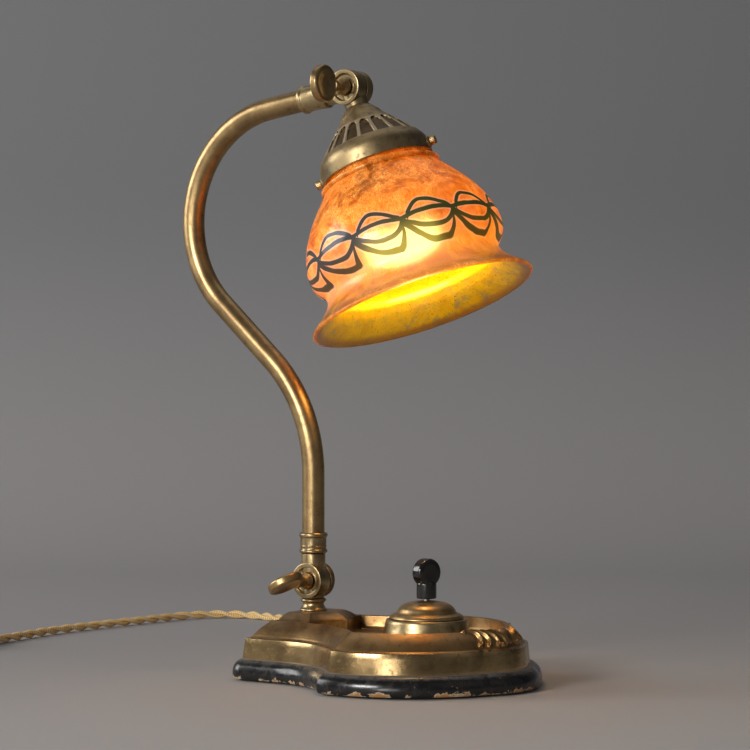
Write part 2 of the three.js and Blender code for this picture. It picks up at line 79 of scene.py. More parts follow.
LOWER = Matrix.Translation(LOWER_PIVOT)
UPPER = Matrix.Translation(UPPER_PIVOT) @ Matrix.Rotation(-math.pi / 2 - ARM_RISE, 4, "Y")
HEAD = Matrix.Translation(UPPER_PIVOT) @ Matrix.Rotation(-HEAD_TILT, 4, "Y")

# Turns a lathed shape's axis from up to near (-Y), far (+Y) or across (+X)
NEAR_SIDE = Matrix.Rotation(math.pi / 2, 4, "X")
FAR_SIDE = Matrix.Rotation(-math.pi / 2, 4, "X")
ACROSS = Matrix.Rotation(math.pi / 2, 4, "Y")

# Free cord, in metres: down from the base, along the floor, round a coil, then a tail up into the plug
CORD_DIAMETER = 0.007
CORD_DROP = [
    (-0.005, 0.0796, 0.022), (-0.0058, 0.096, 0.0196), (-0.010, 0.116, 0.0132), (-0.018, 0.136, 0.0072),
    (-0.031, 0.155, 0.0042),
]
CORD_LYING_AT = 0.0036
CORD_LYING = [
    (-0.050, 0.174), (-0.080, 0.196), (-0.115, 0.220), (-0.150, 0.243), (-0.184, 0.264),
    (-0.215, 0.280), (-0.250, 0.293), (-0.282, 0.298), (-0.308, 0.287), (-0.322, 0.262),
    (-0.326, 0.234), (-0.329, 0.200), (-0.333, 0.160), (-0.334, 0.118), (-0.330, 0.078),
    (-0.324, 0.040), (-0.3215, 0.023),
]
CORD_TAIL = [
    (-0.3795, -0.0564, 0.0108), (-0.385, -0.0567, 0.012), (-0.390, -0.057, 0.0129), (-0.3948, -0.057, 0.013),
]
COIL_CENTRE = (-0.355, -0.014)
COIL_INNER, COIL_OUTER = 0.035, 0.042
COIL_LOW, COIL_HIGH = 0.0035, 0.0103
# The plug's face and the cord's hole in the base, in millimetres
PLUG_AT = (-395.3, -57, 13)
CORD_EXIT = (-5, 49, 22)

# ---------------------------------------------------------------- camera, matched to the photograph

VIEW_TURN = math.radians(34)


def placed(name, data):
    """A new object with that data, in the scene."""
    obj = bpy.data.objects.new(name, data)
    bpy.context.scene.collection.objects.link(obj)
    return obj


camera_data = bpy.data.cameras.new("camera")
camera_data.lens = 120
camera_data.sensor_width = 36
camera = placed("camera", camera_data)
camera.location = (1.0126, -1.4243, 0.210)
camera.rotation_euler = (math.pi / 2, 0, VIEW_TURN)
bpy.context.scene.camera = camera

# ---------------------------------------------------------------- shape helpers


def smooth_step(value, start, end):
    """0 before start and 1 after end, with a smooth rise between."""
    t = min(max((value - start) / (end - start), 0), 1)
    return t * t * (3 - 2 * t)


def arc(centre_x, centre_y, radius, start, end, steps):
    """Points along an arc, both ends included."""
    angles = [start + (end - start) * i / steps for i in range(steps + 1)]
    return [(centre_x + radius * math.cos(a), centre_y + radius * math.sin(a)) for a in angles]


def spline(points, per_span):
    """A Catmull-Rom curve through the points, of any dimension."""
    vectors = [Vector(p) for p in points]
    padded = [vectors[0] * 2 - vectors[1], *vectors, vectors[-1] * 2 - vectors[-2]]
    result = []
    for p0, p1, p2, p3 in zip(padded, padded[1:], padded[2:], padded[3:]):
        for i in range(per_span):
            t = i / per_span
            result.append(0.5 * (
                2 * p1 + (p2 - p0) * t + (2 * p0 - 5 * p1 + 4 * p2 - p3) * t ** 2
                + (3 * p1 - p0 - 3 * p2 + p3) * t ** 3))
    return result + [vectors[-1]]


def soften(profile, radius, steps=4):
    """The same profile with each inner corner rounded off over that distance."""
    points = [Vector(p) for p in profile]
    result = [points[0]]
    for before, corner, after in zip(points, points[1:], points[2:]):
        reach = min(radius, 0.42 * (corner - before).length, 0.42 * (after - corner).length)
        start = corner + (before - corner).normalized() * reach
        end = corner + (after - corner).normalized() * reach
        for i in range(steps + 1):
            t = i / steps
            result.append(start * (1 - t) ** 2 + corner * 2 * t * (1 - t) + end * t ** 2)
    return result + [points[-1]]


def revolve(profile, steps=96, closed=False, dent=None):
    """A lathed shape about +Z from (radius, z) pairs. dent(angle, radius, z) gives a new radius."""
    points, faces, rings = [], [], []
    for radius, z in profile:
        if radius < 1e-6:
            rings.append([len(points)])
            points.append((0, 0, z))
            continue
        rings.append(list(range(len(points), len(points) + steps)))
        for i in range(steps):
            angle = 2 * math.pi * i / steps
            r = dent(angle, radius, z) if dent else radius
            points.append((r * math.cos(angle), r * math.sin(angle), z))
    for a, b in zip(rings, rings[1:] + (rings[:1] if closed else [])):
        for i in range(steps):
            j = (i + 1) % steps
            if len(a) > 1 and len(b) > 1:
                faces.append((a[i], a[j], b[j], b[i]))
            elif len(b) > 1:
                faces.append((a[0], b[j], b[i]))
            elif len(a) > 1:
                faces.append((a[i], a[j], b[0]))
    return points, faces


def skin(loops):
    """Quads between closed loops of equal length, one above the other."""
    count = len(loops[0])
    points = [tuple(p) for loop in loops for p in loop]
    faces = []
    for level in range(len(loops) - 1):
        for i in range(count):
            a, b = level * count + i, level * count + (i + 1) % count
            faces.append((a, b, b + count, a + count))
    return points, faces


def fill(*loops):
    """Triangles that fill the first loop around the others."""
    points = [Vector(p) for loop in loops for p in loop]
    faces = tessellate_polygon([[Vector((p[0], p[1], 0)) for p in loop] for loop in loops])
    return [tuple(p) for p in points], [tuple(face) for face in faces]


def carried_frames(path):
    """(centre, side, up) at each point of a path, with as little twist as the path allows."""
    last = len(path) - 1
    tangents = [(path[min(i + 1, last)] - path[max(i - 1, 0)]).normalized() for i in range(last + 1)]
    side = tangents[0].orthogonal().normalized()
    frames = []
    for centre, tangent in zip(path, tangents):
        side = (side - tangent * side.dot(tangent)).normalized()
        frames.append((centre, side, tangent.cross(side)))
    return frames


def sweep(path, section):
    """A closed section of (side, up) pairs carried along a path, with both ends filled."""
    loops = [[centre + side * a + up * b for a, b in section] for centre, side, up in carried_frames(path)]
    points, faces = skin(loops)
    count = len(section)
    faces.append(tuple(reversed(range(count))))
    faces.append(tuple(range(len(points) - count, len(points))))
    return points, faces


def circle(radius, sides):
    """A regular polygon's (x, y) corners."""
    angles = [2 * math.pi * i / sides for i in range(sides)]
    return [(radius * math.cos(a), radius * math.sin(a)) for a in angles]


def moved(shape, matrix):
    """The same points and faces, moved by the matrix."""
    points, faces = shape
    return [tuple(matrix @ Vector(p)) for p in points], faces


def merged(*shapes):
    """One shape from several."""
    points, faces = [], []
    for more_points, more_faces in shapes:
        offset = len(points)
        points += more_points
        faces += [tuple(i + offset for i in face) for face in more_faces]
    return points, faces


def piece(name, shape, material, body, replaced=(), sharp=38, frame_at=None, weld=0.001):
    """A mesh piece on a body. The shape's points are in frame_at's own millimetres, or in the row frame's."""
    points, faces = shape
    mesh = bpy.data.meshes.new(name)
    mesh.from_pydata([tuple(c * MM for c in p) for p in points], [], faces)
    work = bmesh.new()
    work.from_mesh(mesh)
    bmesh.ops.remove_doubles(work, verts=work.verts, dist=weld * MM)
    bmesh.ops.dissolve_degenerate(work, edges=work.edges, dist=1e-7)
    bmesh.ops.recalc_face_normals(work, faces=work.faces)
    for face in work.faces:
        face.smooth = True
    for edge in work.edges:
        edge.smooth = edge.calc_face_angle(0) < math.radians(sharp)
    work.to_mesh(mesh)
    work.free()
    materials = material if isinstance(material, (list, tuple)) else [material]
    for one in materials:
        mesh.materials.append(one)
    obj = placed(name, mesh)
    if frame_at is not None:
        obj.matrix_world = Matrix.Translation(frame_at.translation * MM) @ frame_at.to_3x3().to_4x4()
    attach(obj, body)
    if replaced:
        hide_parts(*replaced)
    return obj


# ---------------------------------------------------------------- material helpers


class Graph:
    """A material's node tree, with one method for each kind of node used here."""

    def __init__(self, name):
        self.material = bpy.data.materials.new(name)
        self.material.use_nodes = True
        self.tree = self.material.node_tree
        self.tree.nodes.clear()
        self.output = self.tree.nodes.new("ShaderNodeOutputMaterial")
        self.coords = self.node("ShaderNodeTexCoord")

    def node(self, kind, inputs=(), **settings):
        made = self.tree.nodes.new(kind)
        for key, value in settings.items():
            setattr(made, key, value)
        for key, value in dict(inputs).items():
            if isinstance(value, bpy.types.NodeSocket):
                self.tree.links.new(value, made.inputs[key])
            else:
                made.inputs[key].default_value = value
        return made

    def math(self, operation, a, b=0.0, c=0.0):
        return self.node("ShaderNodeMath", {0: a, 1: b, 2: c}, operation=operation).outputs[0]

    def times(self, a, b):
        return self.math("MULTIPLY", a, b)

    def plus(self, a, b):
        return self.math("ADD", a, b)

    def minus(self, a, b):
        return self.math("SUBTRACT", a, b)

    def larger(self, a, b):
        return self.math("MAXIMUM", a, b)

    def noise(self, scale, detail=4.0, rough=0.55, vector=None, distortion=0.0):
        inputs = {
            "Vector": vector or self.coords.outputs["Object"], "Scale": scale, "Detail": detail,
            "Roughness": rough, "Distortion": distortion,
        }
        return self.node("ShaderNodeTexNoise", inputs).outputs["Fac"]

    def stretched(self, scale, rotation=(0, 0, 0)):
        inputs = {"Vector": self.coords.outputs["Object"], "Scale": scale, "Rotation": rotation}
        return self.node("ShaderNodeMapping", inputs).outputs["Vector"]

    def ramp(self, value, low, high, smooth=True):
        """0 below low, 1 above high."""
        inputs = {"Value": value, "From Min": low, "From Max": high, "To Min": 0.0, "To Max": 1.0}
        kind = "SMOOTHSTEP" if smooth else "LINEAR"
        return self.node("ShaderNodeMapRange", inputs, interpolation_type=kind).outputs["Result"]

    def between(self, value, low, high):
        """A value from 0 to 1 spread from low to high."""
        inputs = {"Value": value, "To Min": low, "To Max": high}
        return self.node("ShaderNodeMapRange", inputs).outputs["Result"]

    def mix(self, share, a, b, blend="MIX"):
        made = self.tree.nodes.new("ShaderNodeMix")
        made.data_type = "RGBA"
        made.blend_type = blend
        for index, value in ((0, share), (6, a), (7, b)):
            if isinstance(value, bpy.types.NodeSocket):
                self.tree.links.new(value, made.inputs[index])
            elif index:
                made.inputs[index].default_value = (*value[:3], 1)
            else:
                made.inputs[index].default_value = value
        return made.outputs[2]

    def tint(self, base, mask, strength, colour):
        """The base colour, taken towards another one where the mask is."""
        return self.mix(self.times(mask, strength), base, colour)

    def bump(self, height, strength, distance, normal=None):
        inputs = {"Height": height, "Strength": strength, "Distance": distance}
        if normal:
            inputs["Normal"] = normal
        return self.node("ShaderNodeBump", inputs).outputs["Normal"]

    def pointiness(self):
        return self.node("ShaderNodeNewGeometry").outputs["Pointiness"]

    def upward(self):
        """How far the surface looks up, in the piece's own frame."""
        return self.node("ShaderNodeSeparateXYZ", {0: self.coords.outputs["Normal"]}).outputs["Z"]

    def height(self):
        return self.node("ShaderNodeSeparateXYZ", {0: self.coords.outputs["Object"]}).outputs["Z"]

    def principled(self, inputs):
        return self.node("ShaderNodeBsdfPrincipled", inputs).outputs["BSDF"]

    def blend(self, share, a, b):
        """Shader a, or b where the share is 1."""
        return self.node("ShaderNodeMixShader", {0: share, 1: a, 2: b}).outputs[0]

    def transparent(self, colour=(1, 1, 1)):
        return self.node("ShaderNodeBsdfTransparent", {"Color": (*colour, 1)}).outputs[0]

    def backfacing(self):
        return self.node("ShaderNodeNewGeometry").outputs["Backfacing"]

    def shadow_ray(self):
        """1 for the rays that look for a lamp, which is how light gets through the glass."""
        return self.node("ShaderNodeLightPath").outputs["Is Shadow Ray"]

    def finish(self, shader):
        self.tree.links.new(shader, self.output.inputs["Surface"])
        return self.material


def brass(name, bright, patina, tarnish, roughness, dust=0.0, grain=1.0):
    """Aged brass: clouds of patina, brown tarnish in hollows, rubbed edges, fine scratches, dust on top."""
    g = Graph(name)
    clouds = g.ramp(g.noise(38, 6, 0.62, distortion=0.4), 0.38, 0.66)
    colour = g.mix(clouds, bright, patina)
    spots = g.ramp(g.noise(210, 5, 0.6), 0.52, 0.74)
    colour = g.tint(colour, spots, 0.55, tarnish)
    point = g.pointiness()
    hollow = g.times(g.ramp(point, 0.49, 0.43), 0.85)
    colour = g.mix(hollow, colour, tarnish)
    edge = g.times(g.ramp(point, 0.53, 0.62), 0.5)
    light = tuple(min(1, c * 1.35 + 0.03) for c in bright)
    colour = g.mix(edge, colour, light)
    specks = g.ramp(g.noise(1300, 3, 0.7), 0.66, 0.78)
    colour = g.tint(colour, specks, 0.4, tarnish)
    rough = g.between(g.noise(95, 7, 0.7), roughness[0], roughness[1])
    rough = g.plus(rough, g.times(spots, 0.12))
    rough = g.minus(rough, g.times(edge, 0.08))
    scratch = g.noise(1.0, 3, 0.6, vector=g.stretched((2600, 340, 420), (0.3, 0.4, 0.8)))
    dimples = g.noise(420, 4, 0.6)
    height = g.math("MULTIPLY_ADD", scratch, 0.35, g.times(dimples, 0.65))
    normal = g.bump(height, 0.16 * grain, 0.0004)
    normal = g.bump(g.noise(60, 2), 0.10 * grain, 0.0012, normal)
    inputs = {"Base Color": colour, "Metallic": 1.0, "Roughness": rough, "Normal": normal}
    if dust:
        settled = g.times(g.ramp(g.upward(), 0.45, 0.95), g.ramp(g.noise(140, 6, 0.7), 0.3, 0.62))
        settled = g.larger(settled, g.times(hollow, g.ramp(g.noise(330, 3), 0.4, 0.6)))
        share = g.times(settled, dust)
        inputs["Base Color"] = g.mix(share, colour, (0.30, 0.235, 0.185))
        inputs["Metallic"] = g.minus(1.0, share)
        inputs["Roughness"] = g.math("MULTIPLY_ADD", share, 0.3, rough)
    return g.finish(g.principled(inputs))


def lacquer(name):
    """Black paint on wood: dull and dusty above, with a paler band along the top edge, chipped to primer and
    bare wood along the bottom.
    """
    g = Graph(name)
    z = g.height()
    low = g.ramp(z, 0.0070, 0.0018)
    flakes = g.noise(78, 8, 0.68, distortion=0.6)
    lift = g.math("MULTIPLY_ADD", low, 0.20, flakes)
    fine = g.noise(330, 5, 0.7)
    lift = g.math("MULTIPLY_ADD", g.minus(fine, 0.5), 0.16, lift)
    chip = g.ramp(lift, 0.685, 0.699)
    wood_share = g.ramp(lift, 0.728, 0.750)
    grain = g.noise(1.0, 4, vector=g.stretched((90, 90, 1500)))
    wood = g.mix(grain, (0.55, 0.27, 0.09), (0.30, 0.13, 0.04))
    primer = g.mix(g.ramp(fine, 0.35, 0.65), (0.62, 0.50, 0.34), (0.38, 0.27, 0.16))
    bare = g.mix(wood_share, primer, wood)
    haze = g.ramp(g.noise(120, 7, 0.72), 0.42, 0.78)
    paint = g.mix(haze, (0.0065, 0.0060, 0.0058), (0.022, 0.020, 0.018))
    scuffs = g.ramp(g.noise(700, 4, 0.75), 0.63, 0.75)
    paint = g.tint(paint, scuffs, 0.5, (0.12, 0.10, 0.085))
    dust_and_pale_top = g.times(g.ramp(g.upward(), 0.55, 0.97), g.ramp(g.noise(180, 6, 0.7), 0.3, 0.6))
    # A paler band along the plinth's top edge, 14.3 to 14.9 mm up, whichever way the faces there look
    dust_and_pale_top = g.larger(g.times(dust_and_pale_top, 0.5), g.times(g.ramp(z, 0.0143, 0.0149), 0.9))
    paint = g.tint(paint, dust_and_pale_top, 0.75, (0.24, 0.215, 0.19))
    colour = g.mix(chip, paint, bare)
    rough = g.plus(g.between(haze, 0.20, 0.42), g.times(dust_and_pale_top, 0.3))
    rough = g.larger(rough, g.times(chip, 0.8))
    ripple = g.math("MULTIPLY_ADD", g.noise(240, 4), 0.25, g.times(chip, -1.0))
    normal = g.bump(ripple, 0.7, 0.0005)
    return g.finish(g.principled({
        "Base Color": colour, "Roughness": rough, "Normal": normal,
        "Coat Weight": 0.15, "Coat Roughness": 0.2,
    }))


def bakelite(name):
    """Black moulded plastic with brown swirls and wiping marks."""
    g = Graph(name)
    swirl = g.ramp(g.noise(55, 6, 0.6, distortion=1.5), 0.4, 0.7)
    colour = g.mix(swirl, (0.006, 0.0055, 0.005), (0.016, 0.012, 0.010))
    wipe = g.noise(1.0, 4, 0.7, vector=g.stretched((900, 160, 900), (0.5, 0.2, 0.1)))
    rough = g.between(g.noise(260, 6, 0.7), 0.08, 0.24)
    normal = g.bump(wipe, 0.05, 0.0003)
    return g.finish(g.principled({"Base Color": colour, "Roughness": rough, "Normal": normal, "IOR": 1.6}))


def silk(name):
    """Braided silk: diagonal yarns both ways along the strand, read from the strand's own UVs."""
    g = Graph(name)
    uv = g.node("ShaderNodeUVMap", uv_map="strand").outputs["UV"]
    parts = g.node("ShaderNodeSeparateXYZ", {0: uv})
    along, around = parts.outputs["X"], parts.outputs["Y"]
    turn, yarn_pitch = 2 * math.pi, 0.0021
    yarns = []
    for direction in (1.0, -1.0):
        turns = g.times(around, direction * 2 * turn)
        yarns.append(g.math("SINE", g.plus(g.times(along, turn / yarn_pitch), turns)))
    weave = g.larger(yarns[0], yarns[1])
    fibre = g.noise(2600, 3, 0.7)
    tone = g.ramp(g.noise(75, 5, 0.6), 0.3, 0.7)
    colour = g.mix(tone, (0.84, 0.56, 0.20), (0.94, 0.71, 0.33))
    # Painted shade: the hollows between the yarns are taken to a darker brown
    colour = g.mix(g.ramp(weave, 0.75, -0.2), colour, (0.46, 0.24, 0.07))
    colour = g.tint(colour, g.ramp(fibre, 0.5, 0.75), 0.45, (0.95, 0.78, 0.46))
    height = g.math("MULTIPLY_ADD", fibre, 0.4, weave)
    normal = g.bump(height, 0.6, 0.0004)
    return g.finish(g.principled({
        "Base Color": colour, "Roughness": 0.48, "Normal": normal,
        "Sheen Weight": 0.5, "Sheen Roughness": 0.35, "Sheen Tint": (1.0, 0.85, 0.55, 1),
    }))


def plain(name, dark, light, roughness, scale=200, metallic=0.0, bump=0.1):
    """A mottled finish for small and hidden pieces."""
    g = Graph(name)
    cloud = g.ramp(g.noise(scale, 6, 0.65), 0.35, 0.68)
    fine = g.noise(scale * 7, 3, 0.7)
    colour = g.tint(g.mix(cloud, dark, light), fine, 0.3, dark)
    rough = g.between(fine, roughness - 0.08, roughness + 0.08)
    normal = g.bump(g.plus(fine, cloud), bump, 0.0004)
    return g.finish(g.principled({
        "Base Color": colour, "Roughness": rough, "Metallic": metallic, "Normal": normal,
    }))


def felt(name):
    g = Graph(name)
    fuzz = g.noise(2200, 4, 0.8)
    colour = g.mix(fuzz, (0.012, 0.014, 0.010), (0.05, 0.05, 0.035))
    normal = g.bump(fuzz, 0.8, 0.0006)
    return g.finish(g.principled({
        "Base Color": colour, "Roughness": 0.95, "Normal": normal, "Sheen Weight": 0.6,
    }))


def bulb_glow(name):
    """Frosted glass lit from within, hottest towards its round end."""
    g = Graph(name)
    frost = g.noise(500, 4, 0.7)
    colour = g.mix(frost, (1.0, 0.80, 0.50), (1.0, 0.86, 0.62))
    glow = g.mix(g.ramp(g.height(), -0.096, -0.122), (0.30, 0.16, 0.05), (1.0, 0.77, 0.44))
    return g.finish(g.principled({
        "Base Color": colour, "Roughness": 0.5, "Emission Color": glow,
        "Emission Strength": BULB_STRENGTH, "Normal": g.bump(frost, 0.1, 0.0003),
    }))


# ---------------------------------------------------------------- the shade's glass

BULB_STRENGTH = 16.5
# The band of drawn threads: repeats round the shade, where the first one starts, the distance of its nodes
# from the pivot in metres, and the shade's radius there in millimetres
REPEATS = 12
PATTERN_START = math.radians(-55.7)
NODE_LINE = 0.1185
BAND_RADIUS = 68.0
# Drawn threads of one repeat, in millimetres: rise, offset and half thickness. Then, for each end, the parts
# of the repeat over which the line leaves its node, and how round it leaves
THREADS = [
    (9.9, 0.8, 1.4, (0.11, 0.42, 0.75), (0.99, 0.36, 0.9)),
    (2.6, 0.3, 1.65, (0.0, 0.5, 1.0), (1.0, 0.5, 0.8)),
    (-8.6, -0.7, 1.7, (0.0, 0.62, 0.9), (1.0, 0.70, 0.6)),
    (-15.4, -2.0, 2.0, (0.0, 0.64, 0.85), (1.0, 0.82, 0.5)),
]
# The part of a repeat over which a thread's slope is read, and the steepest slope that counts
SLOPE_STEP, STEEPEST = 0.02, 3.0


def shade_coordinates(g):
    """The angle about the head's axis, and the distance along it from the pivot in metres."""
    parts = g.node("ShaderNodeSeparateXYZ", {0: g.coords.outputs["Object"]})
    angle = g.math("ARCTAN2", parts.outputs["Y"], parts.outputs["X"])
    return angle, g.times(parts.outputs["Z"], -1.0)


def shade_threads(g, angle, along):
    """Masks of the drawn threads: their dark core and the pale halo beside it."""
    drift = g.minus(g.noise(26, 2), 0.5)
    wobble = g.minus(g.noise(70, 3), 0.5)
    turn = g.math("MULTIPLY_ADD", drift, 0.10, g.minus(angle, PATTERN_START))
    cell = g.math("FRACT", g.times(turn, REPEATS / (2 * math.pi)))
    ahead = g.plus(cell, SLOPE_STEP)
    lift = g.times(g.minus(NODE_LINE, along), 1000)
    lift = g.math("MULTIPLY_ADD", drift, 5.0, g.math("MULTIPLY_ADD", wobble, 1.6, lift))
    step_width = 2 * math.pi * BAND_RADIUS / REPEATS * SLOPE_STEP
    weight = g.between(g.noise(48, 3), 0.7, 1.3)

    def swell(place, start, end, roundness):
        quarter = g.times(g.ramp(place, start, end, smooth=False), math.pi / 2)
        return g.math("POWER", g.math("SINE", quarter), roundness)

    def thread_rise(place, rise, leave, arrive):
        return g.times(g.times(swell(place, *leave), swell(place, *arrive)), rise)

    core, halo = None, None
    for rise, offset, thickness, leave, arrive in THREADS:
        shape = thread_rise(cell, rise, leave, arrive)
        climb = g.minus(thread_rise(ahead, rise, leave, arrive), shape)
        slope = g.math("MINIMUM", g.times(g.math("ABSOLUTE", climb), 1 / step_width), STEEPEST)
        away = g.math("ABSOLUTE", g.minus(lift, g.plus(shape, offset)))
        length = g.math("SQRT", g.math("MULTIPLY_ADD", slope, slope, 1.0))
        away = g.math("DIVIDE", away, g.times(length, weight))
        dark = g.ramp(away, thickness * 1.15, thickness * 0.75)
        pale = g.ramp(away, thickness + 1.6, thickness * 1.0)
        core = dark if core is None else g.larger(core, dark)
        halo = pale if halo is None else g.larger(halo, pale)
    return core, halo


def lustre_colour(g, along, blotch):
    """Mottled orange with an amber neck, a pink lustre sheen painted in below, a burnt rim, gold threads and
    dark flecks.
    """
    mottle = g.noise(55, 7, 0.70, distortion=0.9)
    cloud = g.ramp(g.noise(21, 4, 0.6, distortion=1.0), 0.40, 0.60)
    colour = g.mix(g.ramp(mottle, 0.38, 0.60), (0.50, 0.095, 0.008), (0.82, 0.27, 0.022))
    colour = g.tint(colour, cloud, 0.55, (0.82, 0.40, 0.018))
    neck = g.ramp(along, 0.112, 0.080)
    amber = g.mix(g.ramp(blotch, 0.38, 0.60), (0.46, 0.19, 0.003), (0.11, 0.060, 0.004))
    colour = g.tint(colour, neck, g.between(cloud, 0.9, 0.35), amber)
    # Painted sheen: the pink iridescent lustre of the lower body is put into the colour
    lustre = g.times(g.ramp(along, 0.106, 0.136), g.ramp(g.noise(34, 5, 0.6), 0.36, 0.58))
    colour = g.tint(colour, lustre, 0.8, (0.82, 0.38, 0.27))
    colour = g.tint(colour, g.ramp(along, 0.1545, 0.1585), 0.7, (0.40, 0.115, 0.008))
    gold = None
    for tilt in (0.55, -0.65, 0.1):
        vector = g.stretched((430, 430, 60), (tilt, tilt * 0.8, 0.4))
        drawn = g.noise(1.0, 5, 0.62, vector=vector, distortion=1.0)
        line = g.ramp(g.math("ABSOLUTE", g.minus(drawn, 0.5)), 0.030, 0.006)
        gold = line if gold is None else g.larger(gold, line)
    colour = g.tint(colour, gold, g.ramp(mottle, 0.40, 0.66), (0.96, 0.66, 0.22))
    flecks = g.ramp(g.noise(420, 4, 0.7), 0.62, 0.72)
    return g.tint(colour, flecks, 0.35, (0.50, 0.16, 0.02))


def outer_glass(name):
    """Orange lustre glass with drawn dark threads. It glows with the bulb, and is clearest at its waist."""
    g = Graph(name)
    angle, along = shade_coordinates(g)
    core, halo = shade_threads(g, angle, along)
    blotch = g.noise(110, 6, 0.72, distortion=1.2)
    colour = g.tint(lustre_colour(g, along, blotch), halo, 0.7, (0.76, 0.58, 0.60))
    # Painted iridescent sheen: by angle round the shade, the dark threads turn blue on one side and green on
    # the other
    painted_blue_sheen = g.ramp(g.math("COSINE", g.minus(angle, math.radians(-115))), 0.2, 0.85)
    ink = g.mix(painted_blue_sheen, (0.010, 0.055, 0.016), (0.014, 0.038, 0.070))
    colour = g.tint(colour, core, 0.96, ink)
    ripple = g.math("MULTIPLY_ADD", g.noise(170, 4), 0.3, g.times(g.noise(28, 3), 0.8))
    ripple = g.math("MULTIPLY_ADD", core, 0.10, ripple)
    normal = g.bump(ripple, 0.35, 0.0012)
    surface = g.principled({
        "Base Color": colour, "Metallic": 0.2, "Roughness": g.between(blotch, 0.30, 0.46), "Normal": normal,
        "Coat Weight": 0.5, "Coat Roughness": 0.09, "IOR": 1.45, "Specular IOR Level": 0.3,
    })
    through = g.mix(1.0, colour, (0.92, 0.74, 0.40), "MULTIPLY")
    through = g.tint(through, core, 0.95, (0.012, 0.032, 0.002))
    glow = g.node("ShaderNodeBsdfTranslucent", {"Color": through, "Normal": normal}).outputs[0]
    clear_tint = g.tint((1.0, 0.88, 0.64), core, 0.9, (0.10, 0.14, 0.01))
    clear = g.node("ShaderNodeBsdfRefraction", {
        "Color": clear_tint, "Roughness": 0.75, "IOR": 1.12, "Normal": normal,
    }).outputs[0]
    lit = g.blend(g.between(g.ramp(along, 0.113, 0.134), 0.04, 0.42), glow, clear)
    body = g.blend(0.38, surface, lit)
    return g.finish(g.blend(g.shadow_ray(), body, g.transparent((0.55, 0.24, 0.06))))


def inner_glass(name):
    """The golden inside of the shade. Light that comes from within the wall passes it."""
    g = Graph(name)
    angle, along = shade_coordinates(g)
    patches = g.noise(48, 7, 0.68, distortion=0.7)
    colour = g.mix(g.ramp(patches, 0.38, 0.64), (0.94, 0.66, 0.004), (0.80, 0.50, 0.006))
    grey = g.times(g.ramp(g.noise(85, 6, 0.7), 0.48, 0.66), g.ramp(along, 0.132, 0.158))
    colour = g.tint(colour, grey, 0.7, (0.33, 0.32, 0.19))
    dashes = g.noise(1.0, 4, 0.75, vector=g.stretched((900, 900, 420), (0.2, 0.5, 0.3)))
    colour = g.tint(colour, g.ramp(dashes, 0.585, 0.66), 0.85, (0.20, 0.11, 0.008))
    colour = g.tint(colour, g.ramp(dashes, 0.36, 0.27), 0.6, (0.98, 0.80, 0.30))
    lip = g.ramp(along, 0.1575, 0.1615)
    colour = g.tint(colour, lip, 0.75, (0.52, 0.20, 0.03))
    normal = g.bump(g.plus(dashes, g.noise(60, 4)), 0.3, 0.0008)
    surface = g.principled({
        "Base Color": colour, "Metallic": 0.45, "Roughness": g.between(patches, 0.22, 0.42), "Normal": normal,
        "Coat Weight": 0.5, "Coat Roughness": 0.1,
    })
    share = g.larger(g.backfacing(), g.shadow_ray())
    return g.finish(g.blend(share, surface, g.transparent((0.97, 0.88, 0.66))))


# Each brass: bright, patina and tarnish colours, roughness, dust and grain
AGED = brass(
    "aged_brass", (0.36, 0.22, 0.088), (0.20, 0.115, 0.045), (0.06, 0.032, 0.015), (0.23, 0.42), 0.3, 0.7)
FASCIA = brass(
    "fascia_brass", (0.50, 0.345, 0.16), (0.30, 0.20, 0.092), (0.11, 0.062, 0.027), (0.12, 0.34), 0.0, 0.7)
GOLDEN = brass(
    "golden_brass", (0.48, 0.33, 0.15), (0.31, 0.205, 0.095), (0.13, 0.075, 0.035), (0.24, 0.44), 0.15)
JOINT = brass(
    "joint_brass", (0.54, 0.41, 0.21), (0.31, 0.225, 0.115), (0.085, 0.052, 0.028), (0.20, 0.42), 0.1)
BRONZED = brass(
    "bronzed_brass", (0.38, 0.28, 0.14), (0.22, 0.165, 0.09), (0.08, 0.056, 0.034), (0.30, 0.54), 0.35)
PANEL = brass(
    "panel_bronze", (0.16, 0.105, 0.05), (0.09, 0.058, 0.03), (0.035, 0.022, 0.013), (0.35, 0.6), 0.1)
RIB = brass("rib_bronze", (0.50, 0.40, 0.25), (0.40, 0.31, 0.20), (0.20, 0.14, 0.09), (0.4, 0.6), 0.8)
LACQUER = lacquer("black_lacquer")
BAKELITE = bakelite("black_bakelite")
SILK = silk("gold_silk")
FELT = felt("base_felt")
STEEL = plain("dull_steel", (0.30, 0.30, 0.31), (0.45, 0.45, 0.46), 0.38, 260, 1.0)
PORCELAIN = plain("porcelain", (0.62, 0.58, 0.50), (0.78, 0.75, 0.68), 0.22, 90, 0.0, 0.03)
FIBRE = plain("red_fibre", (0.12, 0.05, 0.025), (0.22, 0.10, 0.05), 0.7, 420)
RUBBER = plain("cord_rubber", (0.10, 0.075, 0.04), (0.17, 0.13, 0.07), 0.65, 300)
TIE = plain("cotton_tie", (0.45, 0.36, 0.22), (0.62, 0.52, 0.36), 0.8, 900, 0.0, 0.5)
BULB = bulb_glow("bulb_glass")
OUTER_GLASS = outer_glass("shade_outside")
INNER_GLASS = inner_glass("shade_inside")

# ---------------------------------------------------------------- free cord


def coil_points():
    """The coil's turns, clockwise from above: a low outer turn, two inner turns, and a high outer one."""
    points = []
    first, last, step = 20, 1518, 6
    for degrees in range(first, last, step):
        inwards = smooth_step(degrees, 300, 360) - smooth_step(degrees, 900, 960)
        radius = COIL_OUTER + (COIL_INNER - COIL_OUTER) * inwards
        z = COIL_LOW + (COIL_HIGH - COIL_LOW) * smooth_step(degrees, 610, 665)
        angle = -math.radians(degrees)
        x = COIL_CENTRE[0] + radius * math.cos(angle)
        y = COIL_CENTRE[1] + radius * math.sin(angle)
        points.append((x, y, z))
    return points


